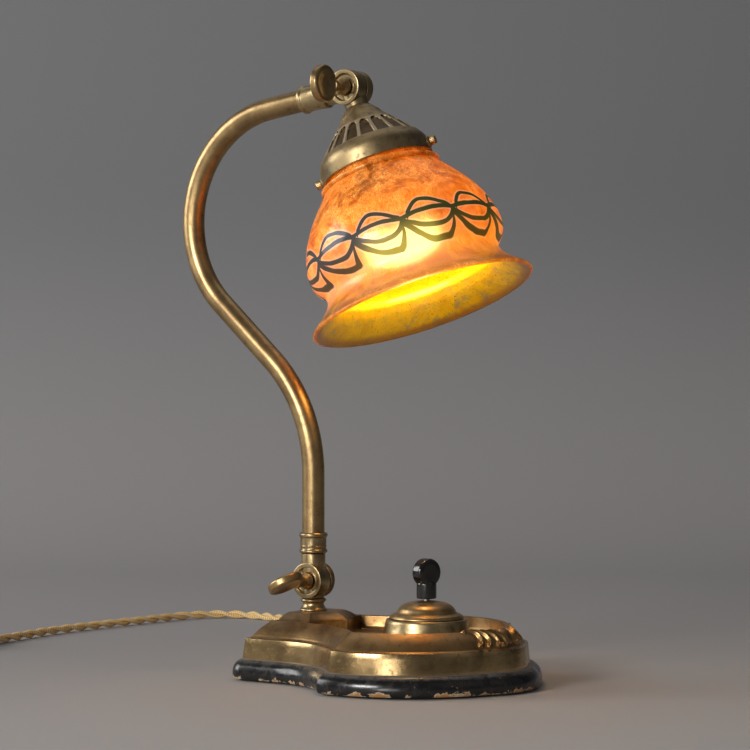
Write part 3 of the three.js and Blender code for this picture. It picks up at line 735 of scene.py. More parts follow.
def build_cord():
    """Two strands twisted along the route. Returns the cord, its path and the path's length, in metres."""
    lying = [(x, y, CORD_LYING_AT) for x, y in CORD_LYING]
    line = spline([*CORD_DROP, *lying, *coil_points(), *CORD_TAIL], 8)
    spacing = 0.0016
    path, since_last = [line[0]], 0.0
    for a, b in zip(line, line[1:]):
        since_last += (b - a).length
        if since_last >= spacing:
            path.append(b)
            since_last = 0.0
    pitch, strand_radius, sides = 0.034, CORD_DIAMETER / 4, 12
    reach = CORD_DIAMETER / 2 - strand_radius
    along = [0.0]
    for a, b in zip(path, path[1:]):
        along.append(along[-1] + (b - a).length)
    strands, uvs = [], []
    for start in (0.0, math.pi):
        centres = []
        for (centre, side, up), travelled in zip(carried_frames(path), along):
            turn = start + 2 * math.pi * travelled / pitch
            centres.append(centre + (side * math.cos(turn) + up * math.sin(turn)) * reach)
        strands.append(sweep(centres, circle(strand_radius, sides)))
        around = [(i / sides, (i + 1) / sides) for i in range(sides)]
        for low, high in zip(along, along[1:]):
            uvs += [[(low, here), (low, there), (high, there), (high, here)] for here, there in around]
        uvs.append([(along[0], here) for here, _ in reversed(around)])
        uvs.append([(along[-1], here) for here, _ in around])
    points, faces = merged(*strands)
    mesh = bpy.data.meshes.new("silk_cord")
    mesh.from_pydata(points, [], faces)
    layer = mesh.uv_layers.new(name="strand")
    for polygon, corners in zip(mesh.polygons, uvs):
        polygon.use_smooth = True
        for loop, uv in zip(polygon.loop_indices, corners):
            layer.data[loop].uv = uv
    mesh.materials.append(SILK)
    cord = placed("silk_cord", mesh)
    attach(cord, "base")
    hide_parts("cord_tube", "cord_coil", "cord_tail")
    return cord, [tuple(p) for p in path], along[-1]


def build_cord_pieces():
    """The bushing and relief at the lamp, the tie around the coil, and the plug with its pins."""
    exit_at = Matrix.Translation(CORD_EXIT) @ FAR_SIDE
    bushing = soften([
        (4.1, -4.5), (5.2, -4.5), (5.2, 0.1), (6.4, 0.1), (6.4, 1.4), (5.6, 2.4), (4.1, 2.4), (4.1, -4.5),
    ], 0.4)
    bushing = moved(revolve(bushing, 48), exit_at)
    made = [piece("bushing", bushing, JOINT, "base", ["cord_bushing"])]
    ribs, rib_count, rib_pitch = [(0, -5.5), (3.8, -5.5), (3.8, 2.7), (5.8, 2.7)], 7, 3.5
    for i in range(rib_count):
        z = 4.2 + i * rib_pitch
        radius = 5.7 - 1.4 * i / (rib_count - 1)
        ribs += [(radius, z), (radius, z + 2.0), (radius - 0.7, z + 2.3), (radius - 0.75, z + 3.1)]
    ribs += [(4.2, 29.2), (3.9, 29.7), (0, 29.7)]
    relief = moved(revolve(soften(ribs, 0.35, 3), 48), exit_at)
    made.append(piece("relief", relief, RUBBER, "base", ["cord_relief"]))

    half_width, half_height, corner, middle_r, middle_z = 7.5, 6.75, 2.5, 38.5, 7.2
    loop = []
    for side_x, side_z, start in ((1, 1, 0), (-1, 1, 90), (-1, -1, 180), (1, -1, 270)):
        centre_x, centre_z = side_x * (half_width - corner), side_z * (half_height - corner)
        bend = arc(centre_x, centre_z, corner, math.radians(start), math.radians(start + 90), 5)
        loop += [(middle_r + a, 0, middle_z + b) for a, b in bend]
    ring = []
    for shift, width in ((0.0, 3.6), (0.45, 3.2), (0.45, -3.2), (0.0, -3.6)):
        scale = 1 - shift / half_height
        ring.append([
            (middle_r + (x - middle_r) * scale, width, middle_z + (z - middle_z) * scale) for x, _, z in loop
        ])
    coil_middle = Matrix.Translation((COIL_CENTRE[0] / MM, COIL_CENTRE[1] / MM, 0))
    tie = moved(skin([*ring, ring[0]]), coil_middle @ Matrix.Rotation(math.radians(100), 4, "Z"))
    made.append(piece("coil_tie", tie, TIE, "base"))

    plug_at = Matrix.Translation(PLUG_AT) @ Matrix.Rotation(-math.pi / 2, 4, "Y")
    body = soften([(0, 0), (5, 0), (6, 6), (11, 14), (13, 20), (13, 38), (12, 40), (0, 40)], 2.2, 6)
    made.append(piece("plug", moved(revolve(body, 64), plug_at), BAKELITE, "base", ["plug_body"]))
    for i, y in enumerate((-9.5, 9.5), 1):
        pin = revolve(soften([(0, 26.4), (2.4, 26.4), (2.4, 57.6), (1.4, 59), (0, 59)], 0.5), 32)
        pin = moved(pin, plug_at @ Matrix.Translation((0, y, 0)))
        made.append(piece(f"pin_{i}", pin, JOINT, "base", [f"plug_pin_{i}"]))
    return made


cord, cord_path, cord_length = build_cord()
cord_pieces = build_cord_pieces()

# ---------------------------------------------------------------- base


def outline(inset, round_corner=False):
    """The base's outline moved inwards, counter-clockwise, with the same point counts at every inset."""
    flare_y = LOBE_HALF_WIDTH + FLARE_RADIUS
    flare, bowl, nose = FLARE_RADIUS + inset, BOWL_RADIUS - inset, NOSE_RADIUS - inset
    across = Vector((BOWL_X - FLARE_START, -flare_y))
    apart = across.length
    notch_turn = math.acos((apart ** 2 + flare ** 2 - bowl ** 2) / (2 * apart * flare))
    notch_angle = math.atan2(across.y, across.x) + notch_turn
    flare_arc = arc(FLARE_START, flare_y, flare, -math.pi / 2, notch_angle, 30)
    notch_x, notch_y = flare_arc[-1]
    between = NOSE_X - BOWL_X
    bowl_end = math.acos((between ** 2 + bowl ** 2 - nose ** 2) / (2 * between * bowl))
    bowl_start = math.atan2(notch_y, notch_x - BOWL_X)
    split = bowl_end + math.radians(14)
    # the part of the bowl that carries the leaf relief has closer points
    bowl_arc = arc(BOWL_X, 0, bowl, bowl_start, split, 34)[1:] + arc(BOWL_X, 0, bowl, split, bowl_end, 48)[1:]
    nose_start = math.asin(bowl * math.sin(bowl_end) / nose)
    nose_arc = arc(NOSE_X, 0, nose, nose_start, 0, 84)[1:]
    left, side = LOBE_LEFT + inset, LOBE_HALF_WIDTH - inset
    corner, end_top = [(left, side)], side
    if round_corner:
        end_top = LOBE_HALF_WIDTH - CORNER_RADIUS
        corner = arc(LOBE_LEFT + CORNER_RADIUS, end_top, CORNER_RADIUS - inset, math.pi, math.pi / 2, 12)
    end = [(left, end_top * i / 8) for i in range(1, 8)]
    straight_from = corner[-1][0]
    straight = [(straight_from + (FLARE_START - straight_from) * i / 8, side) for i in range(1, 8)]
    upper = [*end, *corner, *straight, *flare_arc, *bowl_arc, *nose_arc[:-1]]
    lower = [(x, -y) for x, y in upper]
    return [(left, 0), *lower, nose_arc[-1], *reversed(upper)]


def at_height(loop, z):
    """A flat outline lifted to that height."""
    return [(x, y, z) for x, y in loop]


def build_plinth():
    """The moulded wooden foot, a little wider than the brass."""
    levels = [
        (-5.2, 1.35), (-6.9, 1.6), (-7.7, 2.5), (-8.1, 4), (-8.15, 6), (-7.9, 8.2), (-7.3, 10.2), (-6.2, 12),
        (-4.8, 13.4), (-3.3, 14.4), (-2.2, 14.85), (-1, 15),
    ]
    loops = [at_height(outline(inset, True), z) for inset, z in levels]
    shape = merged(skin(loops), fill(loops[0]), fill(loops[-1]))
    piece("plinth", shape, LACQUER, "base", ["wood_plinth"])


# Leaf relief on the nose of the cove. The lines: points as (degrees about the bowl's centre, inset), then
# width and height
LEAF_LINES = [
    ([(-25, 15.2), (-21.6, 14.8), (-18.6, 13.0), (-17.2, 10.0), (-17.6, 7.2), (-19.6, 5.0)], 1.1, 2.6),
    ([(-21.5, 15.4), (-17.6, 14.6), (-14.4, 12.2), (-13.2, 9.4), (-13.6, 6.8), (-15.0, 5.0)], 1.0, 2.4),
    ([(-18, 15.8), (-13.6, 14.8), (-10.4, 12.6), (-8.6, 9.8), (-8.4, 7.2), (-9.6, 5.2)], 0.9, 2.1),
    ([(-14, 15.9), (-9.6, 15.2), (-6.2, 13.2), (-4.0, 10.2), (-3.4, 7.6), (-4.0, 5.4)], 0.9, 1.9),
    ([(-24, 16.2), (-18, 16.1), (-12, 15.9), (-6, 15.7), (0, 15.6)], 1.0, 1.2),
]
# Round knobs: angle, inset, radius and height. The boss: angle, inset, half width, half depth and height
LEAF_KNOBS = [(-24.6, 14.8, 1.8, 2.2), (-19.4, 5.6, 1.5, 1.8), (-6.4, 5.6, 1.8, 2.0)]
LEAF_BOSS = (0.0, 10.8, 5.4, 5.0, 3.0)
# Where the relief ends, in degrees, and how much longer the cove's surface is than its inset
LEAF_END, COVE_STRETCH = -27, 1.45
LEAF_CURVES = [(spline(line, 8), width, rise) for line, width, rise in LEAF_LINES]


def leaf_height(x, y, inset):
    """How far the leaf relief stands off the cove there."""
    turn = -abs(math.degrees(math.atan2(y, x - BOWL_X)))
    if turn < LEAF_END:
        return 0.0
    reach = math.hypot(x - BOWL_X, y)

    def unrolled(angle, depth):
        return Vector((math.radians(angle) * reach, depth * COVE_STRETCH))

    here = unrolled(turn, inset)
    height = 0.0
    for line, width, rise in LEAF_CURVES:
        nearest = min((here - unrolled(a, d)).length for a, d in line)
        height = max(height, rise * math.exp(-((nearest / width) ** 2)))
    for a, d, radius, rise in LEAF_KNOBS:
        away = (here - unrolled(a, d)).length / radius
        height = max(height, rise * math.sqrt(max(0, 1 - away ** 2)))
    a, d, half_width, half_depth, rise = LEAF_BOSS
    away = math.hypot((here.x - math.radians(a) * reach) / half_width, (inset - d) / half_depth)
    return max(height, rise * math.sqrt(max(0, 1 - away ** 2)))


def cove_levels():
    """(inset, height) rows from the shell's bottom edge up over the fascia, the cove and the rim."""
    rows = [
        (0, SHELL_BOTTOM), (0.1, 17), (0.5, 21), (0.95, 25), (1.3, FASCIA_TOP - 0.7), (1.5, FASCIA_TOP - 0.2),
        (2, FASCIA_TOP), (3.2, 29.2), (4.0, 29.45), (4.5, 29.9), (4.9, 30.5),
    ]
    steps = 28
    for i in range(steps + 1):
        t = i / steps
        bulge = 0.55 * math.sin(math.pi * t)
        rows.append((5.2 + 8.8 * t - bulge * 0.7, 31 + 9.3 * t + bulge * 0.7))
    return rows + [(14.4, 40.62), (14.9, 40.75), (15.3, 40.66), (15.6, RIM_TOP)]


def mound_flank(steps, power):
    """The hollow side of the mound towards the tray, from its near end to its far end."""
    flank = []
    for i in range(-steps, steps + 1):
        x = TRAY_START + FLANK_REACH * (1 - abs(i) / steps) ** power
        flank.append((x, MOUND_HALF_WIDTH * i / steps))
    return flank


def build_casing():
    """The brass shell: dented fascia, cove with its leaf relief, rim, and the sunken tray."""
    rng = random.Random(4)
    dents = []
    for _ in range(40):
        x, y = rng.uniform(0, 150), rng.uniform(-70, 70)
        dents.append((x, y, rng.uniform(6, 16), rng.uniform(-0.22, 0.22)))
    loops = []
    for inset, z in cove_levels():
        flat = outline(inset)
        inner = outline(inset + 0.5)
        loop = []
        for (x, y), (ix, iy) in zip(flat, inner):
            outward = Vector((x - ix, y - iy, 0)).normalized()
            if inset > COVE_FROM:
                lift = leaf_height(x, y, inset)
                fade = smooth_step(inset, 4.6, 5.6) * (1 - smooth_step(inset, 15.1, 15.7))
                move = (outward + Vector((0, 0, 1))).normalized() * lift * fade
            else:
                push = sum(h * math.exp(-((x - a) ** 2 + (y - b) ** 2) / r ** 2) for a, b, r, h in dents)
                move = outward * min(push, 0) * smooth_step(z, 15, 18)
            loop.append((x + move.x, y + move.y, z + move.z))
        loops.append(loop)

    tray = outline(TRAY_INSET)
    kept = [(x, y) for x, y in tray if x > TRAY_START]
    edge_y = max(y for x, y in tray if abs(x - TRAY_START) < 4)
    opening = [(TRAY_START, -edge_y), *kept, (TRAY_START, edge_y), *reversed(mound_flank(24, 2.1))]
    walls = [
        (0, RIM_TOP), (0.35, RIM_TOP - 0.35), (0.5, RIM_TOP - 1.2), (0.9, 34), (1.5, 32), (2.6, 30.9),
        (4, TRAY_FLOOR),
    ]
    rings = [at_height(shrunk(opening, by), z) for by, z in walls]
    shape = merged(skin(loops), fill(loops[0]), fill(loops[-1], rings[0]), skin(rings), fill(rings[-1]))
    casing = piece("casing", shape, [AGED, FASCIA], "base", ["base_shell"], sharp=32, weld=0.01)
    for polygon in casing.data.polygons:
        if polygon.center.z / MM < FASCIA_TOP + 0.2:
            polygon.material_index = 1


def shrunk(loop, distance):
    """A closed outline with each point moved inwards by the distance."""
    result = []
    for before, here, after in zip([loop[-1], *loop], loop, [*loop[1:], loop[0]]):
        a = (Vector(here) - Vector(before)).normalized()
        b = (Vector(after) - Vector(here)).normalized()
        inward = Vector((-(a.y + b.y), a.x + b.x))
        if inward.length > 1e-6:
            inward.normalize()
        result.append((here[0] + inward.x * distance, here[1] + inward.y * distance))
    return result


def build_mound():
    """The faceted rise under the post, with hollow flanks that meet at a point towards the tray."""

    def loop(scale):
        left = MOUND_LEFT * (0.4 + 0.6 * scale)
        side = MOUND_HALF_WIDTH * scale
        flank = [(x * scale, y * scale) for x, y in mound_flank(20, 1.7)]
        across = [(left + (TRAY_START * scale - left) * i / 10, -side) for i in range(10)]
        back = [(x, side) for x, _ in reversed(across)]
        end = [(left, side * i / 10) for i in range(9, -10, -1)]
        return [*across, *flank, *back, *end]

    rows = [
        (1, 40.3), (0.985, 40.9), (0.93, 42.0), (0.86, 43.3), (0.78, 44.4), (0.71, 45.2), (0.66, 45.5),
        (0.6, MOUND_TOP),
    ]
    loops = [at_height(loop(scale), z) for scale, z in rows]
    shape = merged(skin(loops), fill(loops[0]), fill(loops[-1]))
    piece("post_mound", shape, AGED, "base", sharp=24)


def build_switch():
    """The drum in the tray, its domed cover, and the black key with its collar and round paddle."""
    at = Matrix.Translation((SWITCH_X, 0, TRAY_FLOOR))
    drum = soften([
        (27, 0.1), (31.5, 0.1), (31.4, 1.4), (30.2, 3.2), (29.0, 5.5), (27.9, 12.4), (27.5, 13.6),
        (26.8, 14.4), (24.4, 14.4), (24.4, 12.6), (26, 12.6), (27, 5), (27, 0.1),
    ], 0.5)
    piece("drum", moved(revolve(drum, 120), at), JOINT, "base", ["switch_drum"])
    skirt = [
        (23.9, 10.4), (23.9, 14.7), (25.4, 14.75), (25.3, 15.6), (24.4, 17.0), (22.6, 17.9), (20.9, 18.3),
    ]
    dome = spline([(20.2, 19.2), (18.6, 22.0), (15.6, 24.2), (11, 25.7), (6.6, 26.4), (4.4, 26.6)], 5)
    underside = [
        (3.4, 26.6), (3.4, 25.2), (10.4, 24.4), (17, 21.4), (19.2, 18.4), (22.4, 16.4), (22.4, 10.4),
        (23.9, 10.4),
    ]
    cover = [*soften(skirt, 0.4), *dome, *underside]
    piece("cover", moved(revolve(cover, 120), at), GOLDEN, "base", ["switch_cover"])
    collar = soften([
        (2.5, 28.1), (6.4, 28.1), (6.8, 28.7), (6.8, 38), (6.3, 39.4), (2.5, 39.4), (2.5, 28.1),
    ], 0.5)
    paddle = soften([
        (0, -4.4), (6.2, -4.6), (9.0, -4.2), (9.6, -3.0), (9.6, 3.0), (9.0, 4.2), (6.2, 4.6), (0, 4.4),
    ], 1.3, 6)
    turned = Matrix.Rotation(KEY_ANGLE, 4, "Z") @ ACROSS
    paddle_at = at @ Matrix.Translation((0, 0, 45.6)) @ turned
    key = merged(moved(revolve(collar, 64), at), moved(revolve(paddle, 72), paddle_at))
    piece("key", key, BAKELITE, "key", ["switch_key"], sharp=50)


build_plinth()
build_casing()
build_mound()
build_switch()

# ---------------------------------------------------------------- post, joints and arm


def joint_half(radius, inner, outer, neck_radius, neck_from, neck_to, side, recess=0.0):
    """A barrel across the axis, from inner to outer along that side, and its neck."""
    lip = radius - 3.0
    barrel = [(3, inner), (radius, inner), (radius, outer - 0.2), (radius - 0.5, outer), (lip, outer)]
    floor = outer - recess
    if recess:
        barrel += [(lip - 0.4, floor), (6.9, floor), (6.7, floor + 0.35), (6.1, floor + 0.35)]
    barrel += [(3, floor), (3, inner)]
    neck = [(4, neck_from), (neck_radius, neck_from), (neck_radius, neck_to), (4, neck_to), (4, neck_from)]
    return merged(moved(revolve(soften(barrel, 0.55), 96), side), revolve(soften(neck, 0.35), 72))


def thumb_screw(near, disc_angle):
    """A screw with a dished disc for a head. The disc's plane holds the screw's axis."""
    stem = soften([
        (0, -near - 7.4), (2.6, -near - 7.4), (2.6, -0.7), (5.8, -0.7), (5.8, 1.2), (4.9, 2.2), (3.9, 3.4),
        (3.5, 6), (3.7, 9), (4.4, 11), (4.4, 13.5), (0, 14.5),
    ], 0.6)
    disc = soften([
        (0, -1.7), (4, -1.8), (8.4, -2.6), (10, -3.05), (11.8, -3.1), (12.9, -2), (12.9, 2), (11.8, 3.1),
        (10, 3.05), (8.4, 2.6), (4, 1.8), (0, 1.7),
    ], 0.9, 5)
    both = merged(revolve(stem, 48), moved(revolve(disc, 96), Matrix.Translation((0, 0, 24)) @ ACROSS))
    return moved(both, Matrix.Rotation(-disc_angle, 4, "Y") @ Matrix.Translation((0, -near, 0)) @ NEAR_SIDE)


def ferrule(start, end):
    """A beaded sleeve that holds the tube, from start to end along it."""
    profile = [
        (4.4, start), (8.8, start), (9.8, start + 0.9), (9.8, start + 2.2), (9.1, start + 3.0),
        (9.1, start + 4.6), (9.45, start + 5.0), (9.1, start + 5.4), (9.1, end - 3.4), (9.9, end - 2.6),
        (9.9, end - 0.9), (9.2, end), (8.3, end), (8.3, start + 3), (4.4, start + 3), (4.4, start),
    ]
    return revolve(soften(profile, 0.35, 3), 96)


def arm_line():
    """The arm's centre line in the XZ plane, from the lower ferrule to the upper pivot."""
    points = [Vector((0, 0, ARM_START_Z - 10.5)), Vector((0, 0, ARM_START_Z))]
    heading = 0.0

    def run(length, steps):
        step = Vector((math.sin(heading), 0, math.cos(heading))) * (length / steps)
        for _ in range(steps):
            points.append(points[-1] + step)

    def bend(to, radius, steps):
        nonlocal heading
        side = math.copysign(radius, to - heading)
        start = heading
        centre = points[-1] + Vector((math.cos(start), 0, -math.sin(start))) * side
        for i in range(1, steps + 1):
            heading = start + (to - start) * i / steps
            points.append(centre - Vector((math.cos(heading), 0, -math.sin(heading))) * side)

    run(ARM_RUNS["low"], 10)
    bend(-ARM_LEAN, ARM_BENDS["low"], 30)
    run(ARM_RUNS["mid"], 14)
    bend(math.pi / 2 - ARM_RISE, ARM_BENDS["top"], 60)
    run(ARM_RUNS["top"] - 23.6, 12)
    return points


def build_post_and_arm():
    spool = soften([
        (5, 45.7), (9.6, 45.7), (9.6, 46.7), (8.4, 47.9), (7.6, 49.4), (7.4, 50.6), (7.7, 51.6), (8.9, 52.2),
        (9.1, 53.2), (8.4, 54.1), (5, 54.1), (5, 45.7),
    ], 0.4)
    piece("spool", revolve(spool, 80), JOINT, "base", ["post_spool"])

    # Lower joint: each half's barrel, neck radius and neck ends
    far_half = joint_half(LOWER_RADIUS, 4.4, LOWER_FACE, 7.6, -12.3, -6, FAR_SIDE)
    near_half = joint_half(LOWER_RADIUS, -3.2, LOWER_FACE, 8.4, 6, 18.6, NEAR_SIDE, recess=2.2)
    screw = thumb_screw(LOWER_FACE, LOWER_SCREW_TURN)
    lower = [
        ("lower_far_half", far_half, BRONZED, "base", "lower_joint_base_half"),
        ("lower_near_half", near_half, JOINT, "arm", "lower_joint_arm_half"),
        ("lower_wing_disc", screw, GOLDEN, "lower_screw", "lower_thumb_screw"),
        ("lower_ferrule", ferrule(18.9, 33.3), JOINT, "arm", "arm_lower_ferrule"),
    ]
    for name, shape, material, body, node in lower:
        piece(name, moved(shape, LOWER), material, body, [node])

    tube = sweep(arm_line(), circle(TUBE_RADIUS, 40))
    piece("arm", tube, GOLDEN, "arm", ["arm_tube"])

    # Upper joint, in the arm's and the head's own directions
    near_half = joint_half(UPPER_RADIUS, -1.2, UPPER_FACE, 8.3, 6, 19.2, NEAR_SIDE, recess=2.4)
    far_half = joint_half(UPPER_RADIUS, 2.4, UPPER_FACE, 8.3, -15, -6, FAR_SIDE)
    screw = thumb_screw(UPPER_FACE, -HEAD_TILT)
    upper = [
        ("upper_near_half", near_half, JOINT, "arm", "upper_joint_arm_half", UPPER),
        ("upper_ferrule", ferrule(19.5, 41), JOINT, "arm", "arm_upper_ferrule", UPPER),
        ("upper_far_half", far_half, BRONZED, "head", "upper_joint_head_half", HEAD),
        ("upper_wing_disc", screw, GOLDEN, "upper_screw", "upper_thumb_screw", HEAD),
    ]
    for name, shape, material, body, node, frame_at in upper:
        piece(name, shape, material, body, [node], frame_at=frame_at)


build_post_and_arm()

# ---------------------------------------------------------------- head

# Distances down from the upper pivot; the shoulder is (radius, height)
RIBS = 18
RIB_START = math.radians(-47.5)
PANEL_TOP, PANEL_BOTTOM, PANEL_DEPTH, PANEL_ARCH = 29.9, 45.0, 1.5, 3.2
RIB_TOP, RIB_HALF_WIDTH, CAP_RADIUS = 28.9, 0.95, 15
SHOULDER = [(37.6, -48.6), (35.6, -45.6), (32.5, -42), (28.9, -38), (24.9, -33.6), (21, -29.4), (18.2, -26.4)]
SCREW_DROP = Matrix.Translation((0, 0, -56.4))
SCREW_PLACES = [Matrix.Rotation(math.radians(turn), 4, "Z") @ SCREW_DROP @ ACROSS for turn in (19, 199)]


def panel_dent(angle, radius, z):
    """Pushes in an arched panel between each two ribs of the gallery's shoulder."""
    a = -z
    if radius < CAP_RADIUS or not PANEL_TOP < a < PANEL_BOTTOM:
        return radius
    turn = ((angle - RIB_START) * RIBS / (2 * math.pi)) % 1
    from_rib = min(turn, 1 - turn) * 2 * math.pi * radius / RIBS
    half_gap = math.pi * radius / RIBS
    crown = math.sqrt(max(0, 1 - (max(0, 1 - (a - PANEL_TOP) / PANEL_ARCH)) ** 2))
    open_half = (half_gap - RIB_HALF_WIDTH) * crown
    inside = open_half - (half_gap - from_rib)
    depth = smooth_step(inside, 0.0, 0.75) * smooth_step(PANEL_BOTTOM - a, 0, 0.7)
    return radius - PANEL_DEPTH * depth


def knurl(angle, radius, z):
    """Cuts grooves along the head of a shade screw, which is wider than its shank."""
    cut = radius > 3 and math.cos(angle * 24) > 0
    return radius - 0.12 if cut else radius


def build_gallery():
    """The shade holder: a ribbed shoulder with arched panels, a plain band with two lugs, and a cap."""
    shoulder = [tuple(p) for p in spline(SHOULDER, 8)]
    outside = [(38, -62), (39.2, -62), (39.4, -61.4), (39.4, -54.6), (39.2, -52.6), (38.5, -50.2)]
    cap = [
        (18, -26.2), (16.9, -25.0), (15.9, -23.8), (14.8, -21.9), (13.9, -20.5), (12.4, -18.9), (11, -16.9),
        (9, -15.3), (5.2, -15.3),
    ]
    inside = [
        (5.2, -17.4), (10.5, -20), (13, -23), (15.6, -29), (21.2, -35), (28.4, -42), (30.4, -45), (36.8, -51),
        (38, -55), (38, -62),
    ]
    profile = [*soften(outside, 0.8), *shoulder, *soften(cap, 0.5), *inside]
    gallery = revolve(profile, 432, dent=panel_dent)
    lug = soften([(1.9, 38.3), (4.3, 38.3), (4.3, 39.9), (3.7, 40.5), (1.9, 40.5), (1.9, 38.3)], 0.3)
    shape = merged(gallery, *[moved(revolve(lug, 40), at) for at in SCREW_PLACES])
    made = piece(
        "gallery", shape, [BRONZED, PANEL, RIB], "head", ["shade_gallery"], sharp=48,
        frame_at=HEAD)
    for polygon in made.data.polygons:
        middle = polygon.center / MM
        radius, a = math.hypot(middle.x, middle.y), -middle.z
        if polygon.normal.z < -0.1 or not RIB_TOP < a < PANEL_BOTTOM or radius < CAP_RADIUS:
            continue
        above = max(i for i, (_, z) in enumerate(SHOULDER[:-1]) if -z >= a)
        (low_r, low_z), (high_r, high_z) = SHOULDER[above], SHOULDER[above + 1]
        surface = low_r + (high_r - low_r) * (a + low_z) / (low_z - high_z)  # the ribs' radius at this height
        if radius > surface - 3:
            polygon.material_index = 1 if radius < surface - 0.5 * PANEL_DEPTH else 2
    profile = soften([
        (0, 37.2), (1.5, 37.2), (1.5, 40.8), (3.0, 40.8), (3.1, 41.2), (3.1, 44.2), (2.6, 44.9), (0, 45.2),
    ], 0.35)
    screw = revolve(profile, 48, dent=knurl)
    for i, at in enumerate(SCREW_PLACES, 1):
        name = f"gallery_screw_{i}"
        piece(name, moved(screw, at), GOLDEN, name, [f"shade_screw_{i}"], frame_at=HEAD)


def build_shade():
    """The blown bell: a fitter neck, a rounded body with a waist, and a flared lip with a rolled edge."""
    outer = [
        (78, 160.6), (74.6, 157.4), (70.5, 154), (66.9, 150.6), (64.2, 147.3), (62.2, 143.8), (61.3, 140.3),
        (61.9, 137.3), (64.4, 134.5), (66.9, 131.4), (68.5, 127.5), (69, 122.5), (68.7, 117.4), (67.4, 111.9),
        (65, 104.4), (61.5, 97.2), (57, 89.6), (51.9, 82.7), (46.6, 76.2), (41.9, 70.6),
    ]
    bead = [(41.3, 69.6), (42.2, 68.6), (42.5, 67.4), (42.1, 66.2), (40.6, 65.4), (38.2, 65), (36.9, 64)]
    neck = [(36.8, 62), (36.8, 52.6), (36.3, 51.9), (34.2, 51.9), (33.7, 52.6), (33.6, 62)]
    inner = [
        (33.6, 64), (36.5, 68.5), (42.6, 76), (48.9, 84), (54.2, 91.2), (58.2, 98.2), (61.8, 105.4),
        (64, 112.2), (65.3, 117.2), (65.6, 122), (64.6, 128.4), (61.4, 133), (58.8, 137.4), (58.4, 142),
        (59.4, 145.2), (61, 148.6), (64, 152.4), (67.6, 156.2), (71.4, 159.6), (74.6, 162),
    ]
    lip = [(76.2, 162.7), (77.6, 162.4), (78.3, 161.5), (78, 160.6)]
    profile = [*spline(outer, 4), *spline(bead, 3), *neck, *spline(inner, 4), *spline(lip, 3)]
    shape = revolve([(r, -a) for r, a in profile], 180, closed=True)
    shade = piece(
        "art_glass_shade", shape, [OUTER_GLASS, INNER_GLASS], "head", ["glass_shade"], sharp=70,
        frame_at=HEAD, weld=0.02)
    for polygon in shade.data.polygons:
        middle = polygon.center / MM
        outward = Vector((middle.x, middle.y, 0)).normalized().dot(polygon.normal)
        if outward < 0 and middle.z < -64:
            polygon.material_index = 1


def build_bulb():
    profile = spline([
        (13, 71.8), (13.4, 78), (15, 87), (18.6, 95), (22.4, 104), (24, 113), (21.8, 123), (16.5, 129.8),
        (9, 134.3), (0, 136),
    ], 6)
    profile = [(0, -71.8), *[(max(r, 0), -a) for r, a in profile]]
    piece("bulb", revolve(profile, 72), BULB, "head", ["bulb_glass"], frame_at=HEAD)


build_gallery()
build_shade()
build_bulb()

# ---------------------------------------------------------------- CAD nodes that still show

CAD_FINISHES = {
    "felt_pad": FELT, "switch_mechanism": PORCELAIN, "switch_spindle": STEEL, "post_nut": JOINT,
    "post_nipple": JOINT, "lower_joint_washer": FIBRE, "upper_joint_washer": FIBRE, "arm_lead": SILK,
    "head_nipple": JOINT, "lamp_socket": JOINT, "socket_insert": PORCELAIN, "bulb_cap": STEEL,
    "inner_lead_in": SILK, "inner_lead_out": SILK, **{f"plinth_screw_{i}": STEEL for i in range(1, 5)},
}
for node, finish in CAD_FINISHES.items():
    mesh = frame["nodes"][node].data
    mesh.materials.clear()
    mesh.materials.append(finish)

# ---------------------------------------------------------------- stage and light


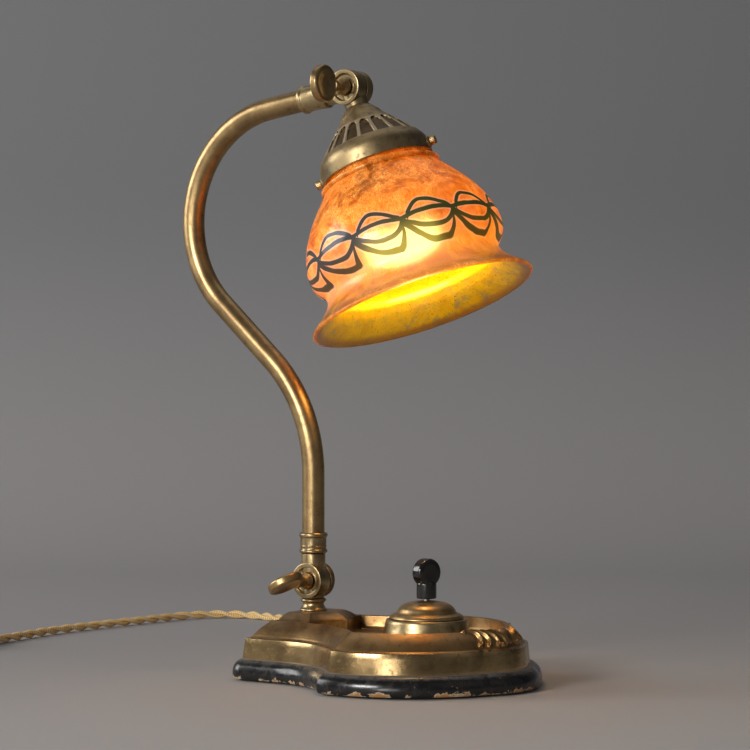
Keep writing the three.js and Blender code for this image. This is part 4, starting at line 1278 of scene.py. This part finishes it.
def build_stage():
    """A pale floor that sweeps up into a backdrop behind the lamp, seen only from its lit side. Its colour
    carries painted shade, darker towards the back and up the wall.
    """
    away = Vector((-math.sin(VIEW_TURN), math.cos(VIEW_TURN), 0))
    across = Vector((away.y, -away.x, 0))
    g = Graph("backdrop")
    speckle = g.noise(900, 3, 0.6)
    colour = g.tint((0.46, 0.435, 0.42), speckle, 0.25, (0.39, 0.37, 0.36))
    parts = g.node("ShaderNodeSeparateXYZ", {0: g.coords.outputs["Object"]})
    # Painted shade: the floor's colour darkens with distance behind the lamp, for the light's falloff
    depth = g.math("MULTIPLY_ADD", parts.outputs["X"], away.x, g.times(parts.outputs["Y"], away.y))
    colour = g.mix(g.ramp(depth, -0.45, 0.25), colour, (0.335, 0.32, 0.315))
    # Painted shade: the backdrop darkens higher up the wall
    colour = g.mix(g.ramp(g.height(), 0.0, 0.5), colour, (0.20, 0.20, 0.203))
    lit = g.principled({"Base Color": colour, "Roughness": 0.75, "Normal": g.bump(speckle, 0.05, 0.0004)})
    paper = g.finish(g.blend(g.backfacing(), lit, g.transparent()))
    reach, wall_from, wall_bend, wall_top = 9, 0.9, 0.9, 5.0
    turns = [math.pi / 2 * i / 16 for i in range(1, 17)]
    profile = [(-reach, 0.0), (wall_from, 0.0)]
    profile += [(wall_from + wall_bend * math.sin(t), wall_bend - wall_bend * math.cos(t)) for t in turns]
    profile += [(wall_from + wall_bend, wall_top)]
    points, faces = [], []
    for distance, z in profile:
        for side in (-reach, reach):
            points.append(tuple(away * distance + across * side + Vector((0, 0, z))))
    for i in range(len(profile) - 1):
        faces.append((2 * i, 2 * i + 1, 2 * i + 3, 2 * i + 2))
    mesh = bpy.data.meshes.new("backdrop")
    mesh.from_pydata(points, [], faces)
    for polygon in mesh.polygons:
        polygon.use_smooth = True
    mesh.materials.append(paper)
    floor = placed("backdrop", mesh)


def area_light(name, place, target, size, power, colour=(1, 1, 1)):
    data = bpy.data.lights.new(name, "AREA")
    data.shape = "RECTANGLE"
    data.size, data.size_y = size
    data.energy = power
    data.color = colour
    light = placed(name, data)
    light.location = place
    light.rotation_euler = (Vector(target) - Vector(place)).to_track_quat("-Z", "Y").to_euler()
    light.visible_camera = False


build_stage()
area_light("key", (-0.32, -3.46, 1.195), (0.06, 0, 0.25), (1.15, 0.71), 72, (1.0, 0.98, 0.96))
area_light("low", (0.96, -3.57, 0.26), (0.08, 0, 0.05), (0.97, 0.48), 13, (1.0, 0.98, 0.96))
area_light("side", (-3.05, -1.58, 1.36), (0, 0, 0.2), (1.9, 1.7), 62)
area_light("fill", (3.6, -0.6, 2.2), (0, 0, 0.2), (2.8, 2.8), 3, (1.0, 0.88, 0.76))
area_light("top", (-0.3, 0.4, 1.9), (-0.1, 0.2, 0.1), (2.0, 1.6), 5)
world = bpy.data.worlds.new("studio")
world.use_nodes = True
world.node_tree.nodes["Background"].inputs["Color"].default_value = (0.55, 0.56, 0.60, 1)
world.node_tree.nodes["Background"].inputs["Strength"].default_value = 0.16
bpy.context.scene.world = world
bpy.context.scene.view_settings.view_transform = "Standard"
